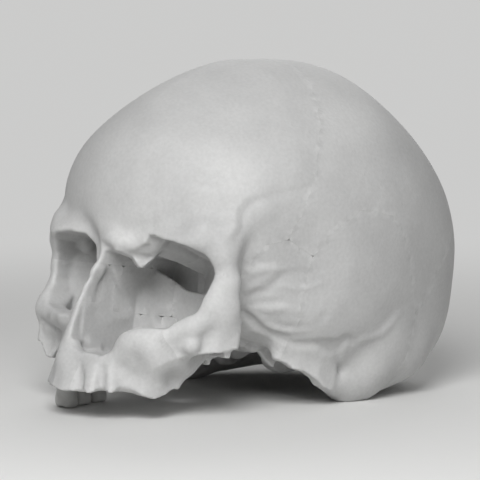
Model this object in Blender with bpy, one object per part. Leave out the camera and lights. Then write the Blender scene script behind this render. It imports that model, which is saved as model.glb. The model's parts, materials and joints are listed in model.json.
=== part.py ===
"""Anatomical skull model: a classroom cranium that comes apart bone by bone.

The head frame has its origin midway between the ear holes, +X to the skull's left, +Y to its back and
+Z up. The cranium is drawn there as one casting, sawn into bones along its sutures and pinned together
with steel dowels. An empty then tips the whole skull back onto its teeth and mastoids.
"""

import math

import bmesh
import bpy
import numpy as np
from mathutils import Matrix, Vector

# Driving sizes, in metres
HALF_WIDTH = 0.070
HALF_LENGTH = 0.090
HEIGHT = 0.113
VAULT_WALL = 0.0058
ORBIT_ROOF = 0.0040
BONE_BAR = 0.0050
ORBIT_DEPTH = 0.0414
ORBIT_WALL = 0.0038
NASAL_WALL = 0.0038
ROOT_WALL = 0.0072
CHEEK_PLATE = 0.0070
SPUR_PLATE = 0.0045
SOFT_BLEND = 0.022
BASE_BLEND = 0.012
BONE_BLEND = 0.006
RIM_BLEND = 0.002
SUTURE_GAP = 0.0004
SERRATION_PITCH = 0.0050
SERRATION_DEPTH = 0.0012
PIN_DIAMETER = 0.0030
PIN_LENGTH = 0.0120
PIN_COVER = 0.0022
FIT_CLEARANCE = 0.0003
SOCKET_DIAMETER = 0.0046
SOCKET_DEPTH = 0.0085
CROWN_WIDTH = 0.0100
MOLAR_LENGTH = 0.0090
PREMOLAR_LENGTH = 0.0066
ROOT_DEPTH = 0.0080
MIDLINE_ROUNDING = 0.0007
GRID_PITCH = 0.0024
REST_FLAT = 0.0004
OVERRUN = 0.003

SIZES = np.array((HALF_WIDTH, HALF_LENGTH, HEIGHT))

# How the casting is netted and thinned: its bounds, and the share of its triangles that stays
CASTING_LOW_shares = (-1.12, -1.22, -0.42)
CASTING_HIGH_shares = (1.12, 1.12, 1.12)
KEPT_TRIANGLES_share = 0.063
TOUCH_share = 0.01
SETTLE_PASSES = 8
SLOPE_FLOOR = 1e-6
SMOOTH_ANGLE = 40

# How the openings of the face narrow behind the rim, widen before it and slant at the back
RIM_share = -0.92
TAPER_START_share = -0.82
FLARE_START_share = -0.90
LEFT_TAPER = 0.30
RIGHT_TAPER = 0.08
RIGHT_FLARE = 0.5
BACK_SIDE_share = 0.20
BACK_SLANT = 0.627

# The turns of the parts that lie askew, in degrees, and the root wall's lean
BROW_TURN = -18
CONDYLE_TURN = -20
MASTOID_TURN = -20
MAXILLA_TURN = -30
ROOT_LEAN = 0.35
ROOT_LEVEL_share = -0.24

# Ellipsoids: centre, then half axes, as shares of half breadth, half length and height
BRAINCASE_shares = (
    ((0, 0.11, 0.41), (1.0, 0.91, 0.60)),
    ((0, -0.40, 0.42), (0.80, 0.555, 0.42)),
    ((0, 0.56, 0.27), (0.80, 0.46, 0.36)),
    ((0.60, 0.02, 0.12), (0.30, 0.45, 0.24)),
    ((0, 0.24, -0.025), (0.66, 0.38, 0.155)),
    ((0.32, 0.45, 0.04), (0.44, 0.35, 0.15)),
)
BASE_HOLLOW_shares = (((0, -0.25, -0.30), (0.90, 0.52, 0.24)), ((0, 0.34, -0.33), (0.66, 0.52, 0.21)))
BROW_shares = ((0.34, -0.76, 0.275), (0.31, 0.14, 0.065))
JAW_shares = ((0.34, -0.74, -0.12), (0.13, 0.15, 0.075))
LEFT_MAXILLA_shares = ((0.40, -0.86, -0.12), (0.16, 0.12, 0.085))
RIGHT_MAXILLA_shares = ((-0.27, -0.82, -0.12), (0.11, 0.12, 0.09))
PALATE_shares = ((0, -0.80, -0.17), (0.34, 0.25, 0.03))
SPHENOID_shares = ((0, -0.30, 0), (0.22, 0.26, 0.10))
CONDYLE_shares = ((0.23, 0.08, -0.13), (0.07, 0.10, 0.045))
MASTOID_BACK_shares = ((0.60, 0.37, -0.05), (0.26, 0.27, 0.14))
TEMPORAL_HOLLOW_shares = ((1.26, -0.52, 0.17), (0.44, 0.42, 0.42))
POSTORBITAL_HOLLOW_shares = ((0.92, -0.53, 0.04), (0.17, 0.12, 0.20))
INFRATEMPORAL_HOLLOW_shares = ((0.62, -0.43, -0.19), (0.28, 0.17, 0.16))
BETWEEN_ORBITS_shares = (((0, -0.68, 0.06), (0.34, 0.34, 0.25)), ((0.30, -0.62, 0.10), (0.40, 0.26, 0.22)))
NASAL_FLOOR_shares = ((0, -0.80, -0.06), (0.15, 0.34, 0.10))
FORAMEN_MAGNUM_shares = ((0, 0.22, -0.10), (0.20, 0.24, 0.22))

# Bars of bone: points as the same shares, each with its radius as a share of the bone bar
MASTOID_shares = ((0.71, 0.27, 0.02, 3.0), (0.69, 0.22, -0.11, 2.4), (0.67, 0.15, -0.20, 1.25))
LATERAL_BAR_shares = ((0.56, -0.79, 0.31, 1.0), (0.655, -0.745, 0.25, 0.9), (0.685, -0.72, 0.15, 0.75),
                      (0.69, -0.715, 0.06, 0.75), (0.68, -0.715, 0.0, 0.8))
NASAL_ROOT_shares = ((0.02, -0.85, 0.28, 1.1), (0.0, -0.87, 0.235, 0.8))
TUBEROSITY_shares = ((0.36, -0.72, -0.13, 1.1), (0.33, -0.55, -0.10, 0.9))
PTERYGOID_shares = ((0.26, -0.43, -0.03, 0.8), (0.31, -0.42, -0.085, 0.6))
CLIVUS_shares = ((0, -0.21, -0.05, 1.2), (0, 0, -0.10, 1.1))
LEFT_RIM_shares = ((0.67, -0.78, 0.115, 0.5), (0.655, -0.79, 0.06, 0.65), (0.63, -0.815, 0.005, 0.8),
                   (0.58, -0.845, -0.03, 0.8), (0.52, -0.885, -0.055, 0.75), (0.44, -0.94, -0.07, 0.65),
                   (0.36, -0.975, -0.08, 0.65), (0.255, -0.975, -0.12, 0.7), (0.225, -0.955, -0.15, 0.7))
RIGHT_RIM_shares = ((-0.68, -0.74, 0.06, 0.5), (-0.675, -0.78, 0.015, 0.7), (-0.66, -0.80, -0.02, 0.8),
                    (-0.56, -0.83, -0.03, 0.75), (-0.44, -0.88, -0.035, 0.65), (-0.33, -0.92, -0.03, 0.6),
                    (-0.25, -0.94, 0.0, 0.6))
NASAL_MARGIN_shares = ((-0.075, -0.925, 0.215, 0.45), (-0.105, -0.94, 0.14, 0.42),
                       (-0.128, -0.955, 0.08, 0.4), (-0.140, -0.975, 0.02, 0.4),
                       (-0.142, -0.99, -0.04, 0.4), (-0.14, -1.01, -0.10, 0.5))
FRONTAL_PROCESS_shares = ((-0.15, -0.88, 0.22, 0.6), (-0.19, -0.87, 0.11, 0.5), (-0.22, -0.885, 0.03, 0.5),
                          (-0.24, -0.92, -0.05, 0.55))
SPUR_ROOT_shares = ((0.0, -0.91, 0.265, 0.8), (0.08, -0.88, 0.26, 0.85), (0.16, -0.82, 0.265, 0.85),
                    (0.24, -0.82, 0.29, 0.7))
PTERYGOID_SECTION_shares = (0.6, 1.6, 1)

# Openings in front view: shares of half width and height
LEFT_OPENING_shares = ((0.233, 0.258), (0.30, 0.287), (0.452, 0.273), (0.548, 0.259), (0.603, 0.24),
                       (0.651, 0.195), (0.658, 0.127), (0.63, 0.069), (0.603, 0.031), (0.521, -0.011),
                       (0.493, -0.028), (0.301, -0.052), (0.219, -0.092), (0.164, -0.145), (0.137, -0.156),
                       (0.068, -0.145), (0.014, -0.115), (-0.082, -0.115), (-0.118, -0.06), (-0.118, 0.017),
                       (-0.092, 0.099), (-0.055, 0.184), (-0.041, 0.211), (0.06, 0.224), (0.15, 0.238))
NASAL_PASSAGE_shares = ((-0.118, -0.115), (0.20, -0.11), (0.20, 0.15), (0.17, 0.20), (0.12, 0.222),
                        (-0.041, 0.211), (-0.055, 0.184), (-0.092, 0.099), (-0.118, 0.017))
RIGHT_OPENING_shares = ((-0.67, 0.15), (-0.655, 0.20), (-0.60, 0.245), (-0.52, 0.27), (-0.40, 0.278),
                        (-0.30, 0.268), (-0.235, 0.23), (-0.20, 0.17), (-0.20, 0.10), (-0.235, 0.04),
                        (-0.30, 0.005), (-0.40, -0.01), (-0.50, -0.01), (-0.59, 0.005), (-0.65, 0.05),
                        (-0.675, 0.10))

# Standing walls: a path in plan as shares of half width and half length, then the upper and the lower
# edge at stops along it as shares of the height
INNER_SHEET_shares = (
    ((-0.135, -1.03), (-0.132, -0.66), (-0.06, -0.585), (0.08, -0.51), (0.25, -0.48), (0.32, -0.50)),
((0, 0.08, -0.16), (0.12, 0.19, -0.16), (0.265, 0.23, -0.16), (0.33, 0.20, -0.16), (0.38, 0.14, -0.16),
     (0.476, 0.085, -0.16), (0.541, 0.127, -0.16), (0.601, 0.165, -0.16), (0.691, 0.136, -0.16),
     (0.781, 0.102, -0.16), (0.926, 0.093, -0.16), (1, 0.093, -0.16)),
)
ROOT_WALL_shares = (
    ((-0.40, -0.56), (-0.395, -0.72), (-0.36, -0.86), (-0.27, -0.985), (-0.14, -1.05), (0, -1.055),
     (0.15, -1.05), (0.26, -1.0), (0.34, -0.92), (0.375, -0.82), (0.38, -0.77)),
    ((0, -0.14, -0.27), (0.1, -0.14, -0.285), (0.45, -0.15, -0.275), (0.92, -0.14, -0.28),
     (1, -0.14, -0.25)),
)
LEFT_CHEEK_shares = (
    ((0.69, -0.67), (0.665, -0.745), (0.60, -0.815), (0.48, -0.89)),
    ((0, 0.02, -0.085), (0.35, 0.02, -0.11), (0.6, -0.01, -0.125), (0.8, -0.03, -0.14), (1, -0.05, -0.15)),
)
RIGHT_CHEEK_shares = (
    ((-0.67, -0.80), (-0.50, -0.79)),
    ((0, -0.02, -0.14), (0.3, -0.02, -0.19), (0.55, -0.02, -0.20), (0.85, -0.02, -0.16), (1, -0.02, -0.13)),
)
SPUR_shares = (
    ((0.06, -0.925), (0.137, -0.815), (0.20, -0.775)),
    ((0, 0.26, 0.22), (0.3, 0.26, 0.20), (0.52, 0.27, 0.163), (0.64, 0.27, 0.175), (1, 0.28, 0.245)),
)
ORBIT_WALL_SPAN_shares = (0.14, 0.70)
ORBIT_WALL_EDGE_shares = (-0.12, 0.28)

# Where each dowel crosses its suture, and the direction that its bone slides off
PIN_shares = {
    "sagittal_pin_front": ((0, 0.16, 0.97), "X"),
    "sagittal_pin_rear": ((0, 0.633, 0.856), "X"),
    "clivus_pin": ((0, -0.21, -0.06), "Y"),
    "petrous_pin_left": ((0.30, -0.26, -0.07), "X"),
    "petrous_pin_right": ((-0.30, -0.26, -0.07), "X"),
    "pterygoid_pin_left": ((0.31, -0.53, -0.10), "Y"),
    "pterygoid_pin_right": ((-0.31, -0.53, -0.10), "Y"),
    "frontal_pin_left": ((0.56, -0.60, 0.235), "Y"),
    "frontal_pin_right": ((-0.56, -0.60, 0.235), "Y"),
    "zygomatic_pin_left": ((0.52, -0.85, -0.085), "X"),
    "zygomatic_pin_right": ((-0.52, -0.80, -0.085), "X"),
}

# Sutures in side view: points as shares of half length and height
CORONAL_shares = ((-0.02, 1.25), (-0.06, 0.98), (-0.19, 0.83), (-0.32, 0.66), (-0.41, 0.49), (-0.47, 0.32))
SPHENOPARIETAL_shares = ((-0.47, 0.32), (-0.33, 0.27))
SQUAMOUS_shares = ((-0.33, 0.27), (-0.25, 0.38), (-0.10, 0.46), (0.08, 0.45), (0.22, 0.35), (0.31, 0.20),
                   (0.38, 0.10))
LAMBDOID_shares = ((0.38, 0.10), (0.48, 0.20), (0.60, 0.34), (0.76, 0.50), (0.92, 0.68), (1.15, 0.90))
SPHENOFRONTAL_shares = ((-0.47, 0.32), (-0.58, 0.29), (-0.62, 0.17))
SPHENOTEMPORAL_shares = ((-0.33, 0.27), (-0.35, 0.10), (-0.31, -0.05), (-0.31, -0.50))
OCCIPITOMASTOID_shares = ((0.38, 0.10), (0.36, -0.06), (0.33, -0.50))
FACE_BACK_shares = ((-0.62, 0.17), (-0.60, 0.02), (-0.53, -0.05), (-0.53, -0.50))
OUTER_FRONT_share = -1.5
OUTER_BACK_share = 1.5
OUTER_TOP_share = 1.25
OUTER_SIDE_share = 1.3
BASE_share = -0.50
FACE_TOP_share = 0.17

# Front view and plan: shares of half breadth with height, and of half breadth and half length
ZYGOMAXILLARY_shares = ((0.47, 0.17), (0.47, -0.01), (0.63, -0.25), (0.63, -0.50))
CLIVUS_SIDE_share = 0.30
CLIVUS_TOP_share = 0.12
CLIVUS_FRONT_share = -0.21
CLIVUS_BACK_share = 0.50
BRIDGE_FRONT_share = -0.50
PALATINE_SIDE_share = 0.27
PALATINE_FRONT_share = -0.64
PALATINE_TOP_share = 0.0
NASAL_BONE_BOX_shares = ((-0.165, -0.005), (-1.15, -0.88), (0.03, 0.17))
ETHMOID_BOX_shares = ((-0.26, -0.06), (-0.80, -0.53), (0.02, 0.17))

# Teeth of the right side: places along the arch, then height and width of each ring of crown and root
TOOTH_shares = {
    "premolar_right": (-0.360, -0.855),
    "first_molar_right": (-0.385, -0.760),
    "second_molar_right": (-0.402, -0.648),
}
GUM_LINE_share = -0.282
BITE_LINE_share = -0.350
BITE_BACK_share = -0.68
CROWN_shares = ((0.0, 0.80), (0.12, 0.94), (0.45, 1.0), (0.85, 0.90), (1.0, 0.78))
ROOT_shares = ((0.5, 0.62), (0.9, 0.40), (1.0, 0.22))
CROWN_SQUARENESS = 4
FRONT_SOCKET_shares = ((0.05, -1.07), (0.15, -1.065), (0.255, -1.02), (0.335, -0.94))
LEFT_SOCKET_shares = ((0.378, -0.85), (0.385, -0.79))
SOCKET_TIP_share = 0.5

# Corners of the round pieces
CROWN_CORNERS = 16
PIN_CORNERS = 16
SOCKET_CORNERS = 10

PLASTIC_COLOUR = (0.44, 0.44, 0.44, 1.0)
TOOTH_COLOUR = (0.50, 0.50, 0.49, 1.0)
STEEL_COLOUR = (0.55, 0.56, 0.58, 1.0)
PLASTIC_ROUGHNESS = 0.75
TOOTH_ROUGHNESS = 0.5
STEEL_ROUGHNESS = 0.3


def clear_scene():
    """Remove whatever the file holds."""
    for old in list(bpy.data.objects):
        bpy.data.objects.remove(old, do_unlink=True)


def collection(name):
    """Make a collection under the scene's own."""
    made = bpy.data.collections.new(name)
    bpy.context.scene.collection.children.link(made)
    return made


def material(name, colour, roughness, metallic=0):
    """Make one piece's Principled material."""
    made = bpy.data.materials.new(name)
    made.use_nodes = True
    shader = made.node_tree.nodes["Principled BSDF"]
    shader.inputs["Base Color"].default_value = colour
    shader.inputs["Roughness"].default_value = roughness
    shader.inputs["Metallic"].default_value = metallic
    made.diffuse_color = colour
    return made


# Fields: each is negative inside its shape and about a distance outside it

def blend(first, second, width):
    """Join two shapes with a rounded valley of the given width."""
    share = np.clip(0.5 + 0.5 * (second - first) / width, 0, 1)
    return second + (first - second) * share - width * share * (1 - share)


def cut(body, hole, width):
    """Take a hole out of a body and round the rim."""
    return -blend(-body, hole, width)


def ellipsoid(place, row, turn=0):
    """An ellipsoid from its row of shares, turned about the vertical in degrees."""
    centre, radii = np.array(row[0]) * SIZES, np.array(row[1]) * SIZES
    x, y, z = (place[i] - centre[i] for i in range(3))
    if turn:
        sine, cosine = math.sin(math.radians(turn)), math.cos(math.radians(turn))
        x, y = x * cosine + y * sine, y * cosine - x * sine
    reach = np.sqrt((x / radii[0]) ** 2 + (y / radii[1]) ** 2 + (z / radii[2]) ** 2)
    slope = np.sqrt((x / radii[0] ** 2) ** 2 + (y / radii[1] ** 2) ** 2 + (z / radii[2] ** 2) ** 2)
    return reach * (reach - 1) / np.maximum(slope, SLOPE_FLOOR)


def capsule(place, start, end, radii, section=(1, 1, 1)):
    """A tapering round bar between two points, its section stretched by the shares."""
    along = end - start
    offset = [place[i] - start[i] for i in range(3)]
    share = np.clip(sum(offset[i] * along[i] for i in range(3)) / (along @ along), 0, 1)
    off = [(offset[i] - share * along[i]) / section[i] for i in range(3)]
    radius = radii[0] + (radii[1] - radii[0]) * share
    return (np.sqrt(off[0] ** 2 + off[1] ** 2 + off[2] ** 2) - radius) * min(section)


def bars(place, rows, width, section=(1, 1, 1)):
    """A run of bars through the rows' points, blended where they meet."""
    points = [np.array(row[:3]) * SIZES for row in rows]
    radii = [row[3] * BONE_BAR for row in rows]
    made = None
    for start, end, wide, narrow in zip(points, points[1:], radii, radii[1:]):
        bar = capsule(place, start, end, (wide, narrow), section)
        made = bar if made is None else blend(made, bar, width)
    return made


def outline_distance(outline, across, up):
    """The distance to a closed outline in two coordinates, negative inside it."""
    nearest, inside = np.inf, False
    for start, end in zip(outline, np.roll(outline, -1, 0)):
        along = end - start
        beside, above = across - start[0], up - start[1]
        share = np.clip((beside * along[0] + above * along[1]) / (along @ along), 0, 1)
        nearest = np.minimum(nearest, np.hypot(beside - share * along[0], above - share * along[1]))
        if along[1]:
            before = beside < above * along[0] / along[1]
            inside = inside ^ (((up < start[1]) != (up < end[1])) & before)
    return np.where(inside, -nearest, nearest)


def orbit_back(x):
    """Where the openings end behind: flat in the middle and slanting forwards on either side."""
    beside = np.maximum(np.abs(x) - BACK_SIDE_share * HALF_WIDTH, 0)
    return RIM_share * HALF_LENGTH + ORBIT_DEPTH - BACK_SLANT * beside


def opening(place, outline_shares, taper=0, flare=0):
    """A hole in the face: its outline in front view narrows behind the rim and widens before it."""
    x, y, z = place
    flat = outline_distance(np.array(outline_shares) * SIZES[[0, 2]], x, z)
    behind = np.maximum(y - TAPER_START_share * HALF_LENGTH, 0)
    before = np.maximum(FLARE_START_share * HALF_LENGTH - y, 0)
    return np.maximum(flat + taper * behind - flare * before, y - orbit_back(x))


def orbit_wall(place):
    """The thin walls that close both orbits behind, along the slanting back."""
    x, y, z = place
    sides = (np.array(ORBIT_WALL_SPAN_shares) * HALF_WIDTH, np.array(ORBIT_WALL_EDGE_shares) * HEIGHT)
    sheet = (np.abs(y - orbit_back(x) - ORBIT_WALL / 2)) / math.hypot(1, BACK_SLANT) - ORBIT_WALL / 2
    for axis, (low, high) in zip((np.abs(x), z), sides):
        sheet = np.maximum(sheet, np.maximum(low - axis, axis - high))
    return sheet


def standing_wall(place, row, thickness, lean=0):
    """A wall that follows a path in plan, between an upper and a lower edge that vary along it."""
    x, y, z = place
    y = y - lean * (z - ROOT_LEVEL_share * HEIGHT)
    path = np.array(row[0]) * SIZES[:2]
    legs = np.linalg.norm(np.diff(path, axis=0), axis=1)
    stops = np.concatenate(([0], np.cumsum(legs)))
    nearest, run = np.inf, 0
    for start, end, stop, leg in zip(path, path[1:], stops, legs):
        along = (end - start) / leg
        reach = np.clip((x - start[0]) * along[0] + (y - start[1]) * along[1], 0, leg)
        gap = np.hypot(x - start[0] - reach * along[0], y - start[1] - reach * along[1])
        run = np.where(gap < nearest, stop + reach, run)
        nearest = np.minimum(nearest, gap)
    stop_shares, top_shares, foot_shares = (np.array(column) for column in zip(*row[1]))
    top = np.interp(run / stops[-1], stop_shares, top_shares) * HEIGHT
    foot = np.interp(run / stops[-1], stop_shares, foot_shares) * HEIGHT
    return np.maximum(nearest - thickness / 2, np.maximum(z - top, foot - z))


def pin_bosses(place):
    """Round thickenings inside the bone where the dowels run."""
    made = None
    for (centre, axis) in PIN_shares.values():
        middle = np.array(centre) * SIZES
        half = np.zeros(3)
        half["XYZ".index(axis)] = PIN_LENGTH / 2
        radius = PIN_DIAMETER / 2 + PIN_COVER
        boss = capsule(place, middle - half, middle + half, (radius, radius))
        made = boss if made is None else np.minimum(made, boss)
    return made


def skull_field(x, y, z):
    """The whole cranium, both halves, before it is sawn."""
    place = (x, y, z)
    even = (np.sqrt(x * x + MIDLINE_ROUNDING ** 2), y, z)
    braincase = None
    for row in BRAINCASE_shares:
        part = ellipsoid(even, row)
        braincase = part if braincase is None else blend(braincase, part, SOFT_BLEND)
    for row in BASE_HOLLOW_shares:
        braincase = cut(braincase, ellipsoid(even, row), BASE_BLEND)
    hollow = ellipsoid(even, TEMPORAL_HOLLOW_shares)
    for row in (POSTORBITAL_HOLLOW_shares, INFRATEMPORAL_HOLLOW_shares):
        hollow = blend(hollow, ellipsoid(even, row), BONE_BLEND)
    openings = blend(opening(place, LEFT_OPENING_shares, LEFT_TAPER),
                     opening(place, RIGHT_OPENING_shares, RIGHT_TAPER, RIGHT_FLARE), RIM_BLEND)
    cavity = cut(braincase + VAULT_WALL, hollow - VAULT_WALL, BONE_BLEND)
    for row in BETWEEN_ORBITS_shares:
        cavity = cut(cavity, ellipsoid(even, row), BONE_BLEND)
    cavity = cut(cavity, openings - ORBIT_ROOF, RIM_BLEND)

    bone = blend(braincase, ellipsoid(even, BROW_shares, BROW_TURN), BONE_BLEND)
    bone = blend(bone, ellipsoid(even, CONDYLE_shares, CONDYLE_TURN), BONE_BLEND)
    bone = blend(bone, ellipsoid(even, MASTOID_BACK_shares, MASTOID_TURN), BONE_BLEND)
    for row in (SPHENOID_shares, JAW_shares):
        bone = blend(bone, ellipsoid(even, row), BONE_BLEND)
    for rows in (MASTOID_shares, LATERAL_BAR_shares, NASAL_ROOT_shares, TUBEROSITY_shares, CLIVUS_shares):
        bone = blend(bone, bars(even, rows, BONE_BLEND), BONE_BLEND)
    bone = blend(bone, bars(even, PTERYGOID_shares, RIM_BLEND, PTERYGOID_SECTION_shares), BONE_BLEND)
    bone = cut(bone, hollow, RIM_BLEND)

    bone = blend(bone, ellipsoid(place, LEFT_MAXILLA_shares, MAXILLA_TURN), BONE_BLEND)
    bone = blend(bone, ellipsoid(place, RIGHT_MAXILLA_shares), BONE_BLEND)
    for rows in (LEFT_RIM_shares, RIGHT_RIM_shares, NASAL_MARGIN_shares, FRONTAL_PROCESS_shares):
        bone = blend(bone, bars(place, rows, BONE_BLEND), BONE_BLEND)
    bone = blend(bone, standing_wall(place, ROOT_WALL_shares, ROOT_WALL, ROOT_LEAN), BONE_BLEND)
    for row in (LEFT_CHEEK_shares, RIGHT_CHEEK_shares):
        bone = blend(bone, standing_wall(place, row, CHEEK_PLATE), RIM_BLEND)
    bone = blend(bone, ellipsoid(even, PALATE_shares), RIM_BLEND)
    for hole in (openings, opening(place, NASAL_PASSAGE_shares), ellipsoid(even, NASAL_FLOOR_shares)):
        bone = cut(bone, hole, RIM_BLEND)
    bone = blend(bone, bars(place, SPUR_ROOT_shares, BONE_BLEND), RIM_BLEND)
    bone = blend(bone, orbit_wall(place), RIM_BLEND)
    bone = blend(bone, standing_wall(place, INNER_SHEET_shares, NASAL_WALL), RIM_BLEND)
    bone = blend(bone, standing_wall(place, SPUR_shares, SPUR_PLATE), RIM_BLEND)
    bone = cut(bone, cavity, RIM_BLEND)
    bone = blend(bone, pin_bosses(place), RIM_BLEND)
    return cut(bone, ellipsoid(even, FORAMEN_MAGNUM_shares), RIM_BLEND)


# The casting: a closed net of faces on the field's zero level, which no primitive could blend

def settle_corners(values):
    """Fill the cells whose faces touch bone only at two opposite corners, so that the net stays closed."""
    touch = -GRID_PITCH * TOUCH_share
    for _ in range(SETTLE_PASSES):
        changed = 0
        for first, second in ((0, 1), (0, 2), (1, 2)):
            near, far = [slice(None)] * 3, [slice(None)] * 3
            near[first], near[second] = slice(None, -1), slice(None, -1)
            far[first], far[second] = slice(1, None), slice(1, None)
            left, right = list(near), list(near)
            left[first], right[second] = slice(1, None), slice(1, None)
            views = [values[tuple(view)] for view in (near, far, left, right)]
            solid = [view < 0 for view in views]
            bad = (solid[0] == solid[1]) & (solid[2] == solid[3]) & (solid[0] != solid[2])
            for view in views:
                view[bad] = np.minimum(view[bad], touch)
            changed += int(bad.sum())
        if not changed:
            break
    return values


def surface_net(values, origin):
    """Put one point in each cell that the surface crosses, and a face round each crossed edge."""
    solid = values < 0
    shape = np.array(values.shape) - 1
    total = np.zeros((*shape, 3))
    count = np.zeros(shape)
    for axis in range(3):
        others = [i for i in range(3) if i != axis]
        low, high = [slice(None)] * 3, [slice(None)] * 3
        low[axis], high[axis] = slice(None, -1), slice(1, None)
        start, end = values[tuple(low)], values[tuple(high)]
        crossed = (start < 0) != (end < 0)
        share = np.where(crossed, start / np.where(crossed, start - end, 1), 0)
        for step in np.ndindex(2, 2):
            window = [slice(None)] * 3
            for other, move in zip(others, step):
                window[other] = slice(move, move + shape[other])
            hit = crossed[tuple(window)]
            count += hit
            total[..., axis] += hit * share[tuple(window)]
            for other, move in zip(others, step):
                total[..., other] += hit * move
    used = count > 0
    index = np.full(shape, -1)
    index[used] = np.arange(used.sum())
    cells = np.argwhere(used)
    points = origin + (cells + total[used] / count[used][:, None]) * GRID_PITCH
    faces = []
    for axis in range(3):
        first, second = (axis + 1) % 3, (axis + 2) % 3
        low, high = [slice(1, -1)] * 3, [slice(1, -1)] * 3
        low[axis], high[axis] = slice(None, -1), slice(1, None)
        start, end = solid[tuple(low)], solid[tuple(high)]
        for mask, order in ((start & ~end, (0, 1, 2, 3)), (end & ~start, (3, 2, 1, 0))):
            place = np.argwhere(mask)
            place[:, [first, second]] += 1
            ring = []
            for move_first, move_second in ((1, 1), (0, 1), (0, 0), (1, 0)):
                cell = place.copy()
                cell[:, first] -= move_first
                cell[:, second] -= move_second
                ring.append(index[cell[:, 0], cell[:, 1], cell[:, 2]])
            faces.append(np.stack(ring, 1)[:, list(order)])
    return points, np.concatenate(faces)


def casting():
    """Sample the field over the head and return the thinned skin of the whole cranium."""
    low = np.array(CASTING_LOW_shares) * SIZES
    high = np.array(CASTING_HIGH_shares) * SIZES
    lines = [np.arange(low[i], high[i] + GRID_PITCH, GRID_PITCH) for i in range(3)]
    values = skull_field(lines[0][:, None, None], lines[1][None, :, None], lines[2][None, None, :])
    points, faces = surface_net(settle_corners(values), low)
    mesh = bpy.data.meshes.new("casting")
    mesh.from_pydata(points.tolist(), [], faces.tolist())
    made = bpy.data.objects.new("casting", mesh)
    cutters.objects.link(made)
    keep_largest(made)
    thin = made.modifiers.new("thin", "DECIMATE")
    thin.ratio = KEPT_TRIANGLES_share
    apply_modifiers(made)
    return made


# Mesh tools

def apply_modifiers(made):
    """Replace an object's mesh with its evaluated one."""
    bpy.context.view_layer.update()
    graph = bpy.context.evaluated_depsgraph_get()
    mesh = bpy.data.meshes.new_from_object(made.evaluated_get(graph))
    made.modifiers.clear()
    made.data = mesh


def keep_largest(made):
    """Keep the largest body of a mesh and drop the crumbs that sawing leaves."""
    shape = bmesh.new()
    shape.from_mesh(made.data)
    shape.verts.ensure_lookup_table()
    seen = np.zeros(len(shape.verts), bool)
    bodies = []
    for first in shape.verts:
        if seen[first.index]:
            continue
        seen[first.index] = True
        body, waiting = [], [first]
        while waiting:
            vert = waiting.pop()
            body.append(vert)
            for edge in vert.link_edges:
                other = edge.other_vert(vert)
                if not seen[other.index]:
                    seen[other.index] = True
                    waiting.append(other)
        bodies.append(body)
    bodies.sort(key=len)
    for body in bodies[:-1]:
        bmesh.ops.delete(shape, geom=body, context="VERTS")
    shape.to_mesh(made.data)
    shape.free()


def is_closed(mesh):
    """Whether every edge of a mesh lies between two faces."""
    shape = bmesh.new()
    shape.from_mesh(mesh)
    closed = all(edge.is_manifold for edge in shape.edges)
    shape.free()
    return closed


def boolean(made, other, operation):
    """Intersect, unite or subtract another object's shape, and apply it."""
    before = made.data
    for solver in ("EXACT", "MANIFOLD"):
        made.data = before
        step = made.modifiers.new(operation.lower(), "BOOLEAN")
        step.operation = operation
        step.solver = solver
        step.object = other
        apply_modifiers(made)
        if is_closed(made.data):
            break


def mesh_object(name, shape, target):
    """Turn a bmesh into a named object."""
    mesh = bpy.data.meshes.new(name)
    bmesh.ops.recalc_face_normals(shape, faces=shape.faces)
    shape.to_mesh(mesh)
    shape.free()
    made = bpy.data.objects.new(name, mesh)
    target.objects.link(made)
    return made


def inset(outline, width):
    """Move every side of a closed outline inwards by a width, keeping its corners sharp."""
    points = np.array(outline, float)
    ahead = np.roll(points, -1, 0) - points
    turn = points[:, 0] * np.roll(points[:, 1], -1) - points[:, 1] * np.roll(points[:, 0], -1)
    ahead /= np.linalg.norm(ahead, axis=1)[:, None]
    inward = np.stack((-ahead[:, 1], ahead[:, 0]), 1) * math.copysign(1, turn.sum())
    before = np.roll(inward, 1, 0)
    corner = (inward + before) / (1 + (inward * before).sum(1))[:, None]
    return points + corner * width


def serrate(line):
    """Turn a suture's line into a zigzag of the named pitch and depth, its ends left in place."""
    points = [np.array(point) for point in line]
    lengths = [np.linalg.norm(b - a) for a, b in zip(points, points[1:])]
    count = max(2, 2 * round(sum(lengths) / SERRATION_PITCH / 2))
    stops = np.cumsum([0] + lengths)
    made = []
    for step in range(count + 1):
        run = stops[-1] * step / count
        leg = min(int(np.searchsorted(stops, run, side="right")) - 1, len(lengths) - 1)
        ahead = (points[leg + 1] - points[leg]) / lengths[leg]
        side = np.array((-ahead[1], ahead[0])) * SERRATION_DEPTH / 2 * (-1) ** step
        made.append(points[leg] + ahead * (run - stops[leg]) + side * (0 < step < count))
    return made


def slab(name, outline, plane, reach):
    """Extrude an outline drawn in the YZ, XZ or XY plane between two distances along the third axis."""
    axes = {"YZ": (1, 2, 0), "XZ": (0, 2, 1), "XY": (0, 1, 2)}[plane]
    shape = bmesh.new()
    verts = []
    for across, up in outline:
        place = [0.0, 0.0, 0.0]
        place[axes[0]], place[axes[1]], place[axes[2]] = across, up, reach[0]
        verts.append(shape.verts.new(place))
    face = shape.faces.new(verts)
    grown = bmesh.ops.extrude_face_region(shape, geom=[face])["geom"]
    move = [0.0, 0.0, 0.0]
    move[axes[2]] = reach[1] - reach[0]
    moved = [item for item in grown if isinstance(item, bmesh.types.BMVert)]
    bmesh.ops.translate(shape, verts=moved, vec=move)
    return mesh_object(name, shape, cutters)


def box(name, spans, shrink):
    """A block between shares of the three sizes, drawn in by a width on every side."""
    low, high = np.array(spans).T * SIZES
    outline = inset([(low[0], low[1]), (high[0], low[1]), (high[0], high[1]), (low[0], high[1])], shrink)
    return slab(name, outline, "XY", (low[2] + shrink, high[2] - shrink))


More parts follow.
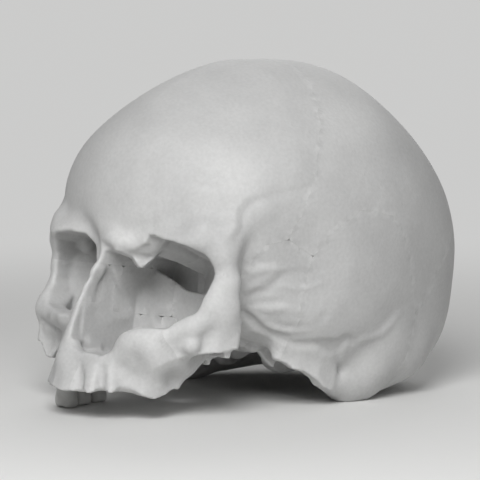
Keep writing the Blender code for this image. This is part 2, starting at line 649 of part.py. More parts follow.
def cylinder(name, centre, axis, diameter, length, target):
    """A round bar along X or Y, its rims left sharp."""
    shape = bmesh.new()
    bmesh.ops.create_cone(shape, cap_ends=True, segments=PIN_CORNERS, radius1=diameter / 2,
                          radius2=diameter / 2, depth=length)
    turn = Matrix.Rotation(math.pi / 2, 4, {"X": "Y", "Y": "X"}[axis])
    bmesh.ops.transform(shape, matrix=Matrix.Translation(centre) @ turn, verts=shape.verts)
    return mesh_object(name, shape, target)


# Bones

def side_point(share):
    """A point of the side view, in metres."""
    return np.array(share) * SIZES[1:]


def side_line(shares, toothed=False):
    """A line of the side view, in metres, toothed where the bones interlock."""
    line = [side_point(share) for share in shares]
    return serrate(line) if toothed else line


def bone_outlines():
    """The side-view outline of each bone, built from the sutures that neighbours share."""
    coronal = side_line(CORONAL_shares[1:], True)
    coronal_top = side_line(CORONAL_shares[:1])
    squamous = side_line(SQUAMOUS_shares, True)
    lambdoid = side_line(LAMBDOID_shares[:-1], True)
    lambdoid_end = side_line(LAMBDOID_shares[-1:])
    sphenoparietal = side_line(SPHENOPARIETAL_shares)
    sphenofrontal = side_line(SPHENOFRONTAL_shares)
    sphenotemporal = side_line(SPHENOTEMPORAL_shares)
    occipitomastoid = side_line(OCCIPITOMASTOID_shares)
    face_back = side_line(FACE_BACK_shares)
    corner = {
        "front_top": side_point((OUTER_FRONT_share, OUTER_TOP_share)),
        "front_face": side_point((OUTER_FRONT_share, FACE_TOP_share)),
        "front_base": side_point((OUTER_FRONT_share, BASE_share)),
        "back_top": side_point((OUTER_BACK_share, OUTER_TOP_share)),
        "back_base": side_point((OUTER_BACK_share, BASE_share)),
    }
    return {
        "frontal": [corner["front_top"], *coronal_top, *coronal, *sphenofrontal[1:], corner["front_face"]],
        "parietal": [*coronal_top, *coronal, *sphenoparietal[1:], *squamous[1:], *lambdoid[1:],
                     *lambdoid_end, corner["back_top"]],
        "occipital": [*lambdoid_end, *reversed(lambdoid), *occipitomastoid[1:], corner["back_base"]],
        "temporal": [*squamous, *occipitomastoid[1:], *reversed(sphenotemporal[1:])],
        "sphenoid": [*sphenoparietal, *sphenotemporal[1:], *reversed(face_back),
                     *reversed(sphenofrontal[1:-1])],
        "face": [*face_back, corner["front_base"], corner["front_face"]],
    }


def saw(name, whole, within, without=()):
    """Saw a bone from the casting: inside all the first shapes and outside the second ones."""
    made = bpy.data.objects.new(name, whole.data.copy())
    bones.objects.link(made)
    for shape in within:
        boolean(made, shape, "INTERSECT")
    for shape in without:
        boolean(made, shape, "DIFFERENCE")
    keep_largest(made)
    made.data.materials.clear()
    made.data.materials.append(material(name, PLASTIC_COLOUR, PLASTIC_ROUGHNESS))
    made.data.shade_smooth()
    made.data.set_sharp_from_angle(angle=math.radians(SMOOTH_ANGLE))
    return made


def side_reach(side, inner, outer=OUTER_SIDE_share):
    """The span along X of a paired piece: +1 for the left side and -1 for the right."""
    ends = (inner * HALF_WIDTH * side, outer * HALF_WIDTH * side)
    return min(ends), max(ends)


def make_bones(whole):
    """Saw the casting along its sutures."""
    half_gap = SUTURE_GAP / 2
    outlines = {name: inset(line, half_gap) for name, line in bone_outlines().items()}
    full = (-OUTER_SIDE_share * HALF_WIDTH, OUTER_SIDE_share * HALF_WIDTH)
    middle = half_gap / HALF_WIDTH
    clivus_span = (-CLIVUS_SIDE_share, CLIVUS_SIDE_share)
    base_span = (BASE_share, CLIVUS_TOP_share)
    palatine_depth = (PALATINE_FRONT_share, FACE_BACK_shares[-1][0])
    palatine_span = (BASE_share, PALATINE_TOP_share)

    frontal = slab("frontal_saw", outlines["frontal"], "YZ", full)
    saw("frontal", whole, [frontal])

    occipital = slab("occipital_saw", outlines["occipital"], "YZ", full)
    clivus = box("clivus_saw", (clivus_span, (CLIVUS_FRONT_share, CLIVUS_BACK_share), base_span), half_gap)
    boolean(occipital, clivus, "UNION")
    saw("occipital", whole, [occipital])

    sphenoid = slab("sphenoid_saw", outlines["sphenoid"], "YZ", full)
    bridge = box("bridge_saw", (clivus_span, (BRIDGE_FRONT_share, CLIVUS_FRONT_share), base_span), half_gap)
    boolean(sphenoid, bridge, "UNION")
    palatine_sides = (-PALATINE_SIDE_share, PALATINE_SIDE_share)
    palatine_block = box("palatine_block", (palatine_sides, palatine_depth, palatine_span), -half_gap)
    nasal_block = box("nasal_block", NASAL_BONE_BOX_shares, -half_gap)
    ethmoid_block = box("ethmoid_block", ETHMOID_BOX_shares, -half_gap)
    saw("sphenoid", whole, [sphenoid], [palatine_block, ethmoid_block])
    saw("nasal_bone_right", whole, [box("nasal_saw", NASAL_BONE_BOX_shares, half_gap)])
    saw("ethmoid", whole, [box("ethmoid_saw", ETHMOID_BOX_shares, half_gap)])

    for side, word in ((1, "left"), (-1, "right")):
        parietal = slab(f"parietal_saw_{word}", outlines["parietal"], "YZ", side_reach(side, middle))
        saw(f"parietal_{word}", whole, [parietal])
        temporal = slab(f"temporal_saw_{word}", outlines["temporal"], "YZ",
                        side_reach(side, CLIVUS_SIDE_share + middle))
        saw(f"temporal_{word}", whole, [temporal])
        face = slab(f"face_saw_{word}", outlines["face"], "YZ", side_reach(side, middle))
        line = [np.array(share) * SIZES[[0, 2]] * (side, 1) for share in ZYGOMAXILLARY_shares]
        outer = [np.array((OUTER_SIDE_share, share)) * SIZES[[0, 2]] * (side, 1)
                 for share in (BASE_share, OUTER_TOP_share)]
        inner = [np.array((0, share)) * SIZES[[0, 2]] for share in (BASE_share, OUTER_TOP_share)]
        top = [np.array((ZYGOMAXILLARY_shares[0][0], OUTER_TOP_share)) * SIZES[[0, 2]] * (side, 1)]
        depth = (OUTER_FRONT_share * HALF_LENGTH, 0)
        cheek = slab(f"cheek_saw_{word}", inset([*top, *line, *outer], half_gap), "XZ", depth)
        jaw = slab(f"jaw_saw_{word}", inset([*top, *line, *inner], half_gap), "XZ", depth)
        saw(f"zygomatic_{word}", whole, [face, cheek])
        saw(f"maxilla_{word}", whole, [face, jaw], [palatine_block, nasal_block, ethmoid_block])
        half_palate = sorted((0, side * PALATINE_SIDE_share))
        palatine = box(f"palatine_saw_{word}", (half_palate, palatine_depth, palatine_span), half_gap)
        saw(f"palatine_{word}", whole, [palatine])


# Teeth

def bite_slope():
    """How much the line on which the skull rests, from the bite to the mastoids, climbs to the back."""
    tip = np.array(MASTOID_shares[-1][1:3]) * SIZES[1:] - (0, MASTOID_shares[-1][3] * BONE_BAR)
    bite = np.array((BITE_BACK_share, BITE_LINE_share)) * SIZES[1:]
    return (tip[1] - bite[1]) / (tip[0] - bite[0])


def tooth(name, place, length, grow, target):
    """Loft a crown and its root through rounded rectangles, from the bite up to the root's tip."""
    across, along = CROWN_WIDTH / 2, length / 2
    slope = bite_slope()
    gum = GUM_LINE_share * HEIGHT
    bite = BITE_LINE_share * HEIGHT + slope * (place[1] - BITE_BACK_share * HALF_LENGTH)
    crown = gum - bite
    rings = [(bite + crown * up, wide) for up, wide in CROWN_shares]
    rings += [(gum + ROOT_DEPTH * up, wide) for up, wide in ROOT_shares]
    shape = bmesh.new()
    loops = []
    for height, wide in rings:
        loop = []
        for step in range(CROWN_CORNERS):
            angle = 2 * math.pi * (step + 0.5) / CROWN_CORNERS
            cosine, sine = math.cos(angle), math.sin(angle)
            power = abs(cosine) ** CROWN_SQUARENESS + abs(sine) ** CROWN_SQUARENESS
            flat = power ** (-1 / CROWN_SQUARENESS)
            back = (along * wide + grow) * sine * flat
            lean = slope * back * max(0, (gum - height) / crown)
            loop.append(shape.verts.new((place[0] + (across * wide + grow) * cosine * flat,
                                         place[1] + back, height + lean)))
        loops.append(loop)
    for vert in loops[0]:
        vert.co.z -= grow
    for vert in loops[-1]:
        vert.co.z += grow
    for lower, upper in zip(loops, loops[1:]):
        for step in range(CROWN_CORNERS):
            ahead = (step + 1) % CROWN_CORNERS
            shape.faces.new((lower[step], lower[ahead], upper[ahead], upper[step]))
    shape.faces.new(list(reversed(loops[0])))
    shape.faces.new(loops[-1])
    made = mesh_object(name, shape, target)
    made.data.materials.append(material(name, TOOTH_COLOUR, TOOTH_ROUGHNESS))
    return made


def make_teeth():
    """Seat the right side's back teeth in their sockets."""
    jaw = bpy.data.objects["maxilla_right"]
    for name, share in TOOTH_shares.items():
        place = np.array(share) * SIZES[:2]
        length = PREMOLAR_LENGTH if name.startswith("premolar") else MOLAR_LENGTH
        tooth(name, place, length, 0, bones)
        boolean(jaw, tooth(f"{name}_socket", place, length, FIT_CLEARANCE, cutters), "DIFFERENCE")
    keep_largest(jaw)


def make_sockets():
    """Open the empty tooth sockets along the front and the left of the arch."""
    mouth = SOCKET_DIAMETER / 2
    for side, word in ((1, "left"), (-1, "right")):
        places = FRONT_SOCKET_shares + (LEFT_SOCKET_shares if side == 1 else ())
        shape = bmesh.new()
        for across, along in places:
            centre = Vector((across * side * HALF_WIDTH, along * HALF_LENGTH, GUM_LINE_share * HEIGHT))
            bmesh.ops.create_cone(shape, cap_ends=True, segments=SOCKET_CORNERS, radius1=mouth,
                                  radius2=mouth * SOCKET_TIP_share, depth=2 * SOCKET_DEPTH,
                                  matrix=Matrix.Translation(centre))
        jaw = bpy.data.objects[f"maxilla_{word}"]
        boolean(jaw, mesh_object(f"sockets_{word}", shape, cutters), "DIFFERENCE")
        keep_largest(jaw)


# Dowels

def make_pins():
    """Set each dowel across its suture and bore the two bones that it joins."""
    mates = {
        "sagittal": ("parietal_left", "parietal_right"),
        "clivus": ("sphenoid", "occipital"),
        "petrous": ("sphenoid", "temporal"),
        "pterygoid": ("sphenoid", "maxilla"),
        "frontal": ("sphenoid", "frontal"),
        "zygomatic": ("maxilla", "zygomatic"),
    }
    for name, (share, axis) in PIN_shares.items():
        centre = Vector(np.array(share) * SIZES)
        pin = cylinder(name, centre, axis, PIN_DIAMETER, PIN_LENGTH, bones)
        pin.data.materials.append(material(name, STEEL_COLOUR, STEEL_ROUGHNESS, metallic=1))
        bore = cylinder(f"{name}_bore", centre, axis, PIN_DIAMETER + 2 * FIT_CLEARANCE,
                        PIN_LENGTH + 2 * FIT_CLEARANCE, cutters)
        side = name.rsplit("_", 1)[-1]
        for mate in mates[name.split("_")[0]]:
            bone = bpy.data.objects.get(mate) or bpy.data.objects[f"{mate}_{side}"]
            boolean(bone, bore, "DIFFERENCE")
            keep_largest(bone)


def rest_on_table():
    """Tip the head back until the right teeth and the mastoids stand at one height, then trim them flat."""
    tilt = math.atan(bite_slope())
    rest = bpy.data.objects.new("rest_pose", None)
    bpy.context.scene.collection.objects.link(rest)
    turn = Matrix.Rotation(-tilt, 4, "X")
    corners = np.array([turn @ vert.co for bone in bones.objects for vert in bone.data.vertices])
    low, high = corners.min(0), corners.max(0)
    floor = low[2] + REST_FLAT
    middle = (low + high) / 2
    rest.rotation_euler = (-tilt, 0, 0)
    rest.location = (-middle[0], -middle[1], -floor)
    room = 2 * HALF_LENGTH
    ground = slab("ground", [(-room, -room), (room, -room), (room, room), (-room, room)], "XY",
                  (floor - OVERRUN, floor))
    ground.data.transform(turn.inverted())
    for bone in list(bones.objects):
        heights = [(turn @ vert.co).z for vert in bone.data.vertices]
        if min(heights) < floor:
            boolean(bone, ground, "DIFFERENCE")
    for bone in bones.objects:
        bone.parent = rest


clear_scene()
bones = collection("anatomical_skull_model")
cutters = collection("cutters")
make_bones(casting())
make_teeth()
make_sockets()
make_pins()
rest_on_table()
for cutter in cutters.objects:
    cutter.hide_render = True
    cutter.hide_viewport = True
    cutter.display_type = "WIRE"
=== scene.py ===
# Anatomical skull model: fine bones, teeth, finishes, floor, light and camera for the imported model
import json
import math
import bpy
import numpy as np
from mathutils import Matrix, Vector


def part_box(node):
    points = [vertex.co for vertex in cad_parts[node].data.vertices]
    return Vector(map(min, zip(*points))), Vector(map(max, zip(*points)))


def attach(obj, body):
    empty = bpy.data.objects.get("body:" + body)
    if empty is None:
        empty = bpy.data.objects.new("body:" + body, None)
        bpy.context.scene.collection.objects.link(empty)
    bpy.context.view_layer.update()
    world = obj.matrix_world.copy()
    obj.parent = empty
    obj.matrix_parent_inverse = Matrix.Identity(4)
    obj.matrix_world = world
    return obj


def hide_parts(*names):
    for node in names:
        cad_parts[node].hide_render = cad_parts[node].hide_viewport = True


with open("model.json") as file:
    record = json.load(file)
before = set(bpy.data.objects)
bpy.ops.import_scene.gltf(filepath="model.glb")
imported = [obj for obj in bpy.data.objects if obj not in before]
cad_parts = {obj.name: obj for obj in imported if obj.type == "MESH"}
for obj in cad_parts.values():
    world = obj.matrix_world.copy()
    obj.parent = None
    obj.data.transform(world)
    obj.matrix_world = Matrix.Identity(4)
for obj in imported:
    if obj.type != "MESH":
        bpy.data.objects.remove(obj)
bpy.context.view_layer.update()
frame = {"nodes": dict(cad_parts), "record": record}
print("frame loaded")

# The head frame: midway between the ear holes, +X to the skull's left, +Y to its back, +Z up
head = {
    "halfBreadth": 0.070,
    "halfLength": 0.090,
    "height": 0.113,
    "tiltDegrees": 8.1516,
    "shift": (-0.00004, 0.00034, 0.03007),
}
headSizes = np.array((head["halfBreadth"], head["halfLength"], head["height"]))


def tipped(points, degrees):
    # turns points about X by an angle t: y cos t + z sin t, and z cos t - y sin t
    c, s = math.cos(math.radians(degrees)), math.sin(math.radians(degrees))
    x, y, z = np.asarray(points, float).T
    return np.stack((x, y * c + z * s, z * c - y * s), 1)


def toWorld(points):
    # tips points of the head frame back and lifts them onto the table
    return tipped(points, head["tiltDegrees"]) + head["shift"]


def toHead(points):
    # the way back: off the table, then tipped forward
    return tipped(np.asarray(points, float) - head["shift"], -head["tiltDegrees"])


# Steel dowels, the bosses of bone round them and the bores that they stand in, in metres
pin = {
    "radius": 0.0015, "length": 0.012, "chamfer": 0.0004, "dimple": 0.0003, "around": 48, "sharpDegrees": 35,
    "dimpleRows": ((0.05, 1), (0.35, 0.6), (0.5, 0)),   # shares of the radius, with shares of the dimple's depth
    "bevelRows": ((1, 0), (0.45, 0.35), (0, 1)),        # shares of the chamfer inwards, and back from the end
    "boss": 0.0037, "bore": 0.0018, "boreLength": 0.0126,
}
pinNodes = [node for node in frame["nodes"] if "_pin" in node]


def pinPlace(node):
    # middle of a dowel in the head frame, and the axis that it lies along: the longest side of its CAD box
    low, high = (np.array(corner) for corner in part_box(node))
    return toHead([(low + high) / 2])[0], int(np.argmax(high - low))


def pinRod(node, radius, length, rounded):
    # rod along a dowel: a capsule round its line, or a flat-ended cylinder
    middle, axis = pinPlace(node)

    def distance(*place):
        off = [place[i] - middle[i] for i in range(3)]
        along = np.abs(off.pop(axis)) - length / 2
        across = np.hypot(*off)
        if rounded:
            return np.hypot(across, np.maximum(along, 0)) - radius
        return np.maximum(across - radius, along)
    span = np.full(3, radius)
    span[axis] += length / 2
    return distance, middle - span, middle + span


# Camera and lamps: azimuth and elevation in degrees, distance from the aim, sizes in metres and power in watts
view = {"aim": (-0.0016, -0.0012, 0.0656), "azimuth": 43.0, "elevation": 5.3, "distance": 1.150, "fieldDegrees": 10.2}
lamps = {
    "key": {"azimuth": 36, "elevation": 35, "distance": 0.9, "size": 0.45, "power": 6.6},
    "side": {"azimuth": 92, "elevation": 5, "distance": 1.3, "size": 1.0, "power": 1.3},
    "rim": {"azimuth": 215, "elevation": 35, "distance": 1.2, "size": 1.0, "power": 3.6},
}
studioAir = {"colour": (1.0, 1.0, 1.0), "strength": 0.14}
floor = {
    "halfSide": 4.0, "colour": (0.78, 0.78, 0.77), "roughness": 0.9,
    "glowColour": (0.60, 0.60, 0.595),     # what the camera sees of the floor far from the skull, and of the air
    "fadeFrom": 0.22, "fadeTo": 0.75,      # distances from the skull between which the floor turns into the glow
    "grainScale": 260, "grainDetail": 3, "grainStrength": 0.3, "grainDepth": 0.0002,
}


def addObject(name, data):
    # a new object of the scene that carries the data
    made = bpy.data.objects.new(name, data)
    bpy.context.scene.collection.objects.link(made)
    return made


def directionOf(azimuth, elevation):
    # unit vector from the object towards a place seen at this azimuth and elevation
    a, e = math.radians(azimuth), math.radians(elevation)
    return Vector((math.sin(a) * math.cos(e), -math.cos(a) * math.cos(e), math.sin(e)))


def aimed(name, data, place):
    # an object at aim + direction * distance, turned so that its own -Z points at the aim
    made = addObject(name, data)
    aim = Vector(view["aim"])
    made.location = aim + directionOf(place["azimuth"], place["elevation"]) * place["distance"]
    made.rotation_euler = (aim - made.location).to_track_quat("-Z", "Y").to_euler()
    return made


def makeCamera():
    # the photograph's camera: its field of view, at its place round the aim
    data = bpy.data.cameras.new("photoCamera")
    data.angle = math.radians(view["fieldDegrees"])
    bpy.context.scene.camera = aimed("photoCamera", data, view)


def makeLamp(name, lamp):
    # a round area lamp at its place round the aim
    data = bpy.data.lights.new(name, "AREA")
    data.shape = "DISK"
    data.size = lamp["size"]
    data.energy = lamp["power"]
    aimed(name, data, lamp)


def addNode(tree, kind, **values):
    # a node of a kind; each value goes to the node's own setting, or to its input socket of that name or number,
    # which another node's output is joined to and anything else is set on
    node = tree.nodes.new(kind)
    for name, value in values.items():
        if hasattr(node, name):
            setattr(node, name, value)
            continue
        numbered = name.startswith("in") and name[2:].isdigit()
        socket = node.inputs[int(name[2:]) if numbered else name.replace("_", " ")]
        if isinstance(value, bpy.types.NodeSocket):
            tree.links.new(value, socket)
        else:
            socket.default_value = value
    return node


def paint(name, **values):
    # a new material with its shader's own sockets set, and its tree
    made = bpy.data.materials.new(name)
    made.use_nodes = True
    shader = made.node_tree.nodes["Principled BSDF"]
    for socket, value in values.items():
        shader.inputs[socket.replace("_", " ")].default_value = value
    return made, made.node_tree, shader


def unlitRays(tree):
    # 1 for rays of the camera, of gloss and of glass, 0 for those that light the skull
    rays = addNode(tree, "ShaderNodeLightPath").outputs
    seen = rays["Is Camera Ray"]
    for name in ("Is Glossy Ray", "Is Transmission Ray"):
        seen = addNode(tree, "ShaderNodeMath", operation="MAXIMUM", in0=seen, in1=rays[name]).outputs[0]
    return seen


def makeWorld():
    # even air round the skull; the camera and reflections see the plain background instead
    world = bpy.data.worlds.new("studioAir")
    world.use_nodes = True
    tree = world.node_tree
    air = tree.nodes["Background"]
    air.inputs["Color"].default_value = (*studioAir["colour"], 1)
    air.inputs["Strength"].default_value = studioAir["strength"]
    seen = addNode(tree, "ShaderNodeBackground", Color=(*floor["glowColour"], 1))
    mix = addNode(tree, "ShaderNodeMixShader", in0=unlitRays(tree), in1=air.outputs[0], in2=seen.outputs[0])
    tree.links.new(mix.outputs[0], tree.nodes["World Output"].inputs["Surface"])
    bpy.context.scene.world = world


def makeFloor():
    # a flat square; its paint keeps the shadow near the skull and turns into the background's glow further out
    half = floor["halfSide"]
    mesh = bpy.data.meshes.new("studioFloor")
    mesh.from_pydata([(-half, -half, 0), (half, -half, 0), (half, half, 0), (-half, half, 0)], [], [(0, 1, 2, 3)])
    made = addObject("studioFloor", mesh)
    material, tree, shader = paint("paleFloorPaint", Base_Color=(*floor["colour"], 1), Roughness=floor["roughness"])
    place = addNode(tree, "ShaderNodeTexCoord").outputs["Object"]
    grain = addNode(tree, "ShaderNodeTexNoise", Vector=place, Scale=floor["grainScale"], Detail=floor["grainDetail"])
    bump = addNode(tree, "ShaderNodeBump", Height=grain.outputs[0], Strength=floor["grainStrength"],
                   Distance=floor["grainDepth"])
    away = addNode(tree, "ShaderNodeVectorMath", operation="LENGTH", in0=place)
    fade = addNode(tree, "ShaderNodeMapRange", interpolation_type="SMOOTHSTEP", Value=away.outputs["Value"],
                   in1=floor["fadeFrom"], in2=floor["fadeTo"])
    share = addNode(tree, "ShaderNodeMath", operation="MULTIPLY", in0=fade.outputs[0], in1=unlitRays(tree))
    glow = addNode(tree, "ShaderNodeEmission", Color=(*floor["glowColour"], 1))
    mix = addNode(tree, "ShaderNodeMixShader", in0=share.outputs[0], in1=shader.outputs[0], in2=glow.outputs[0])
    tree.links.new(bump.outputs[0], shader.inputs["Normal"])
    tree.links.new(mix.outputs[0], tree.nodes["Material Output"].inputs["Surface"])
    mesh.materials.append(material)


makeCamera()
for lampName, lamp in lamps.items():
    makeLamp(lampName + "Lamp", lamp)
makeWorld()
makeFloor()
bpy.context.scene.view_settings.view_transform = "Standard"
print("camera, light and floor done")

# The block of air that the bone is worked out in: cell size in metres, corners as shares of the head's sizes
air = {"cell": 0.0010, "low": (-1.12, -1.22, -0.42), "high": (1.12, 1.12, 1.12)}
# Widths over which shapes run into each other, in metres: soft forms, bone, sharp rims, and across the midline
bend = {"soft": 0.022, "bone": 0.006, "rim": 0.002, "midline": 0.0007}
# Thickness of bone round the brain's space and the orbits, and the radius that 1.0 stands for in a bar, in metres
bone = {"wall": 0.0058, "orbitWall": 0.004, "barRadius": 0.005}


def airAxes():
    # evenly spaced places along the three axes; X is the same on both sides of the midline
    cell = air["cell"]
    half = int(round(air["high"][0] * headSizes[0] / cell))
    x = np.arange(half + 1) * cell
    y = np.arange(air["low"][1] * headSizes[1], air["high"][1] * headSizes[1], cell)
    z = np.arange(air["low"][2] * headSizes[2], air["high"][2] * headSizes[2], cell)
    return [axis.astype(np.float32) for axis in (x, y, z)]


def smoothMin(first, second, width):
    # the lesser of two distances, rounded where they come within a width of each other
    share = np.clip(0.5 + 0.5 * (second - first) / width, 0, 1)
    return second + (first - second) * share - width * share * (1 - share)


def windowOf(axes, low, high):
    # slices of the block between two corners, and the open coordinates there
    cuts = []
    for axis, start, end in zip(axes, low, high):
        first = int(np.searchsorted(axis, start))
        last = int(np.searchsorted(axis, end))
        cuts.append(slice(max(first - 1, 0), min(last + 1, len(axis))))
    x, y, z = (axis[cut] for axis, cut in zip(axes, cuts))
    return tuple(cuts), (x[:, None, None], y[None, :, None], z[None, None, :])


def alongLeg(place, start, end):
    # share of the way from start to end at which each place is nearest, (off . leg) / (leg . leg) held to 0 and 1,
    # and the way that is left from there to the place
    leg = end - start
    off = [axis - begin for axis, begin in zip(place, start)]
    share = np.clip(sum(part * length for part, length in zip(off, leg)) / (leg @ leg), 0, 1)
    return share, [part - share * length for part, length in zip(off, leg)]


def outlineDistance(outline, a, b):
    # signed distance to a closed outline on a grid of two coordinates: nearest side, negative inside
    points = np.array(outline, float)
    nearest = np.full(np.broadcast_shapes(a.shape, b.shape), np.inf)
    inside = np.zeros(nearest.shape, bool)
    for start, end in zip(points, np.roll(points, -1, 0)):
        nearest = np.minimum(nearest, np.hypot(*alongLeg((a, b), start, end)[1]))
        leg = end - start
        if leg[1]:
            inside ^= ((b < start[1]) != (b < end[1])) & (a < start[0] + (b - start[1]) * leg[0] / leg[1])
    return np.where(inside, -nearest, nearest)


def lump(centre, radii, turn=0):
    # ellipsoid: k0 (k0 - 1) / k1, with k0 the length of p / r and k1 the length of p / r squared
    middle, reach = np.array(centre) * headSizes, np.array(radii) * headSizes
    c, s = math.cos(math.radians(turn)), math.sin(math.radians(turn))

    def distance(x, y, z):
        x, y, z = x - middle[0], y - middle[1], z - middle[2]
        x, y = x * c + y * s, y * c - x * s
        k0 = np.sqrt((x / reach[0]) ** 2 + (y / reach[1]) ** 2 + (z / reach[2]) ** 2)
        k1 = np.sqrt((x / reach[0] ** 2) ** 2 + (y / reach[1] ** 2) ** 2 + (z / reach[2] ** 2) ** 2)
        return k0 * (k0 - 1) / np.maximum(k1, 1e-6)
    span = reach if not turn else np.array((max(reach[:2]), max(reach[:2]), reach[2]))
    return distance, middle - span, middle + span


def bars(rows, width, section=(1, 1, 1)):
    # tapering round bars along a row of points: distance to each leg less its radius there, blended over a width
    points = [np.array(row[:3]) * headSizes for row in rows]
    radii = [row[3] * bone["barRadius"] for row in rows]

    def distance(*place):
        made = None
        for start, end, wide, narrow in zip(points, points[1:], radii, radii[1:]):
            share, off = alongLeg(place, start, end)
            gap = sum((part / size) ** 2 for part, size in zip(off, section))
            bar = (np.sqrt(gap) - (wide + (narrow - wide) * share)) * min(section)
            made = bar if made is None else smoothMin(made, bar, width)
        return made
    reach = max(radii) * np.array(section)
    return distance, np.min(points, 0) - reach, np.max(points, 0) + reach


def change(block, shapes, width, carve=False):
    # blends shapes into the block one after the other, or carves them out, each only where it can matter
    for distance, low, high in shapes:
        spare = 2 * width + 2 * air["cell"]
        cut, place = windowOf(block["axes"], low - spare, high + spare)
        old = block["value"][cut]
        if old.size:
            new = distance(*place)
            block["value"][cut] = -smoothMin(-old, new, width) if carve else smoothMin(old, new, width)


# The vault and base: ellipsoids as centre and radii in shares of the head's sizes
braincase = (
    ((0, 0.11, 0.41), (1.0, 0.91, 0.60)),
    ((0, -0.40, 0.42), (0.80, 0.555, 0.42)),
    ((0, 0.56, 0.27), (0.80, 0.46, 0.36)),
    ((0.60, 0.02, 0.12), (0.30, 0.45, 0.24)),
    ((0.38, 0.58, 0.08), (0.34, 0.27, 0.19)),
    ((0, 0.24, -0.025), (0.66, 0.38, 0.155)),
    ((0.32, 0.45, 0.04), (0.44, 0.35, 0.15)),
)
# Carved out of the underside before the brain's space is made
baseHollows = (
    ((0, -0.25, -0.30), (0.90, 0.52, 0.24)),
    ((0, 0.34, -0.33), (0.66, 0.52, 0.21)),
)
# Pads and bars that both sides share; a pad's last number turns it about Z in degrees, and a bar's last number
# times the bar radius is its radius there
sharedPads = (
    ((0.34, -0.76, 0.275), (0.31, 0.14, 0.065), -18),   # brow
    ((0, -0.30, 0), (0.22, 0.26, 0.10), 0),             # middle of the base
    ((0.23, 0.08, -0.13), (0.07, 0.10, 0.045), -20),    # condyle
    ((0.34, -0.74, -0.12), (0.13, 0.15, 0.075), 0),     # inside of the upper jaw
    ((0.62, 0.37, -0.035), (0.28, 0.28, 0.16), -20),    # back of the mastoid
)
sharedBars = (
    ((0.71, 0.27, 0.02, 3.0), (0.69, 0.22, -0.11, 2.4), (0.67, 0.15, -0.20, 1.25)),  # mastoid
    ((0.70, 0.06, -0.185, 1.0), (0.69, 0.24, -0.18, 1.1), (0.66, 0.36, -0.135, 1.4)),  # its broad foot
    ((0, -0.21, -0.05, 1.2), (0, 0, -0.10, 1.1)),  # clivus
    ((0.56, -0.79, 0.31, 1.0), (0.655, -0.745, 0.25, 0.9), (0.685, -0.72, 0.15, 0.75), (0.69, -0.715, 0.06, 0.75),
     (0.68, -0.715, 0.0, 0.8)),  # bar beside the orbit
    # front of the temporal line
    ((0.655, -0.745, 0.25, 0.7), (0.68, -0.70, 0.33, 0.55), (0.73, -0.60, 0.42, 0.45), (0.78, -0.45, 0.50, 0.3)),
    ((0.02, -0.85, 0.28, 1.1), (0.0, -0.87, 0.235, 0.8)),  # root of the nose
    ((0.36, -0.72, -0.13, 1.1), (0.33, -0.55, -0.10, 0.9)),  # tuberosity
)
hollowRows = (
    ((1.26, -0.52, 0.17), (0.44, 0.42, 0.42)),   # temple
    ((0.92, -0.53, 0.04), (0.17, 0.12, 0.20)),   # behind the orbit's outer bar
    ((0.62, -0.43, -0.19), (0.28, 0.17, 0.16)),  # under the temple
)
betweenOrbits = (
    ((0, -0.68, 0.06), (0.34, 0.34, 0.25)),
    ((0.30, -0.62, 0.10), (0.40, 0.26, 0.22)),
)
pterygoidRows = ((0.26, -0.43, -0.03, 0.8), (0.31, -0.42, -0.085, 0.6))
pterygoidSection = (0.6, 1.6, 1)   # thin across, broad from front to back

# One side only: bars and pads of the left and the right half of the face
leftBars = (
    ((0.67, -0.78, 0.115, 0.5), (0.655, -0.79, 0.06, 0.65), (0.63, -0.815, 0.005, 0.8), (0.58, -0.845, -0.03, 0.8),
     (0.52, -0.885, -0.055, 0.75), (0.44, -0.94, -0.07, 0.65), (0.36, -0.975, -0.08, 0.65),
     (0.30, -0.985, -0.095, 0.7), (0.255, -0.975, -0.12, 0.7), (0.225, -0.955, -0.15, 0.7)),  # lower rim
)
leftPads = (
    ((0.40, -0.86, -0.12), (0.16, 0.12, 0.085), -30),
)
rightBars = (
    ((-0.075, -0.925, 0.215, 0.45), (-0.105, -0.94, 0.14, 0.42), (-0.128, -0.955, 0.08, 0.38),
     (-0.140, -0.975, 0.02, 0.36), (-0.142, -0.99, -0.04, 0.42), (-0.14, -1.005, -0.10, 0.6),
     (-0.135, -1.025, -0.175, 1.0)),  # nasal margin
    ((-0.15, -0.88, 0.22, 0.6), (-0.19, -0.87, 0.11, 0.5), (-0.22, -0.885, 0.03, 0.45),
     (-0.24, -0.92, -0.05, 0.55)),  # beside the nose
    ((-0.68, -0.74, 0.06, 0.5), (-0.675, -0.78, 0.015, 0.7), (-0.66, -0.80, -0.02, 0.8),
     (-0.56, -0.83, -0.03, 0.75), (-0.44, -0.88, -0.035, 0.65), (-0.33, -0.92, -0.03, 0.6),
     (-0.25, -0.94, 0.0, 0.6)),  # lower rim
)
rightPads = (
    ((-0.27, -0.82, -0.12), (0.11, 0.12, 0.09), 0),
)

# Where the openings of the face end behind: flat in the middle, slanting forwards beside it, closed by thin walls
orbitBack = {
    "place": -0.46, "side": 0.20, "slant": 0.627, "wall": 0.0030, "span": (0.14, 0.70), "edge": (-0.12, 0.28),
    "spare": 0.1,
}
# Places from front to back that the openings of the face share
opening = {"front": -1.3, "flareEnd": -1.05, "flareFrom": -0.90, "slopeFrom": -0.82}
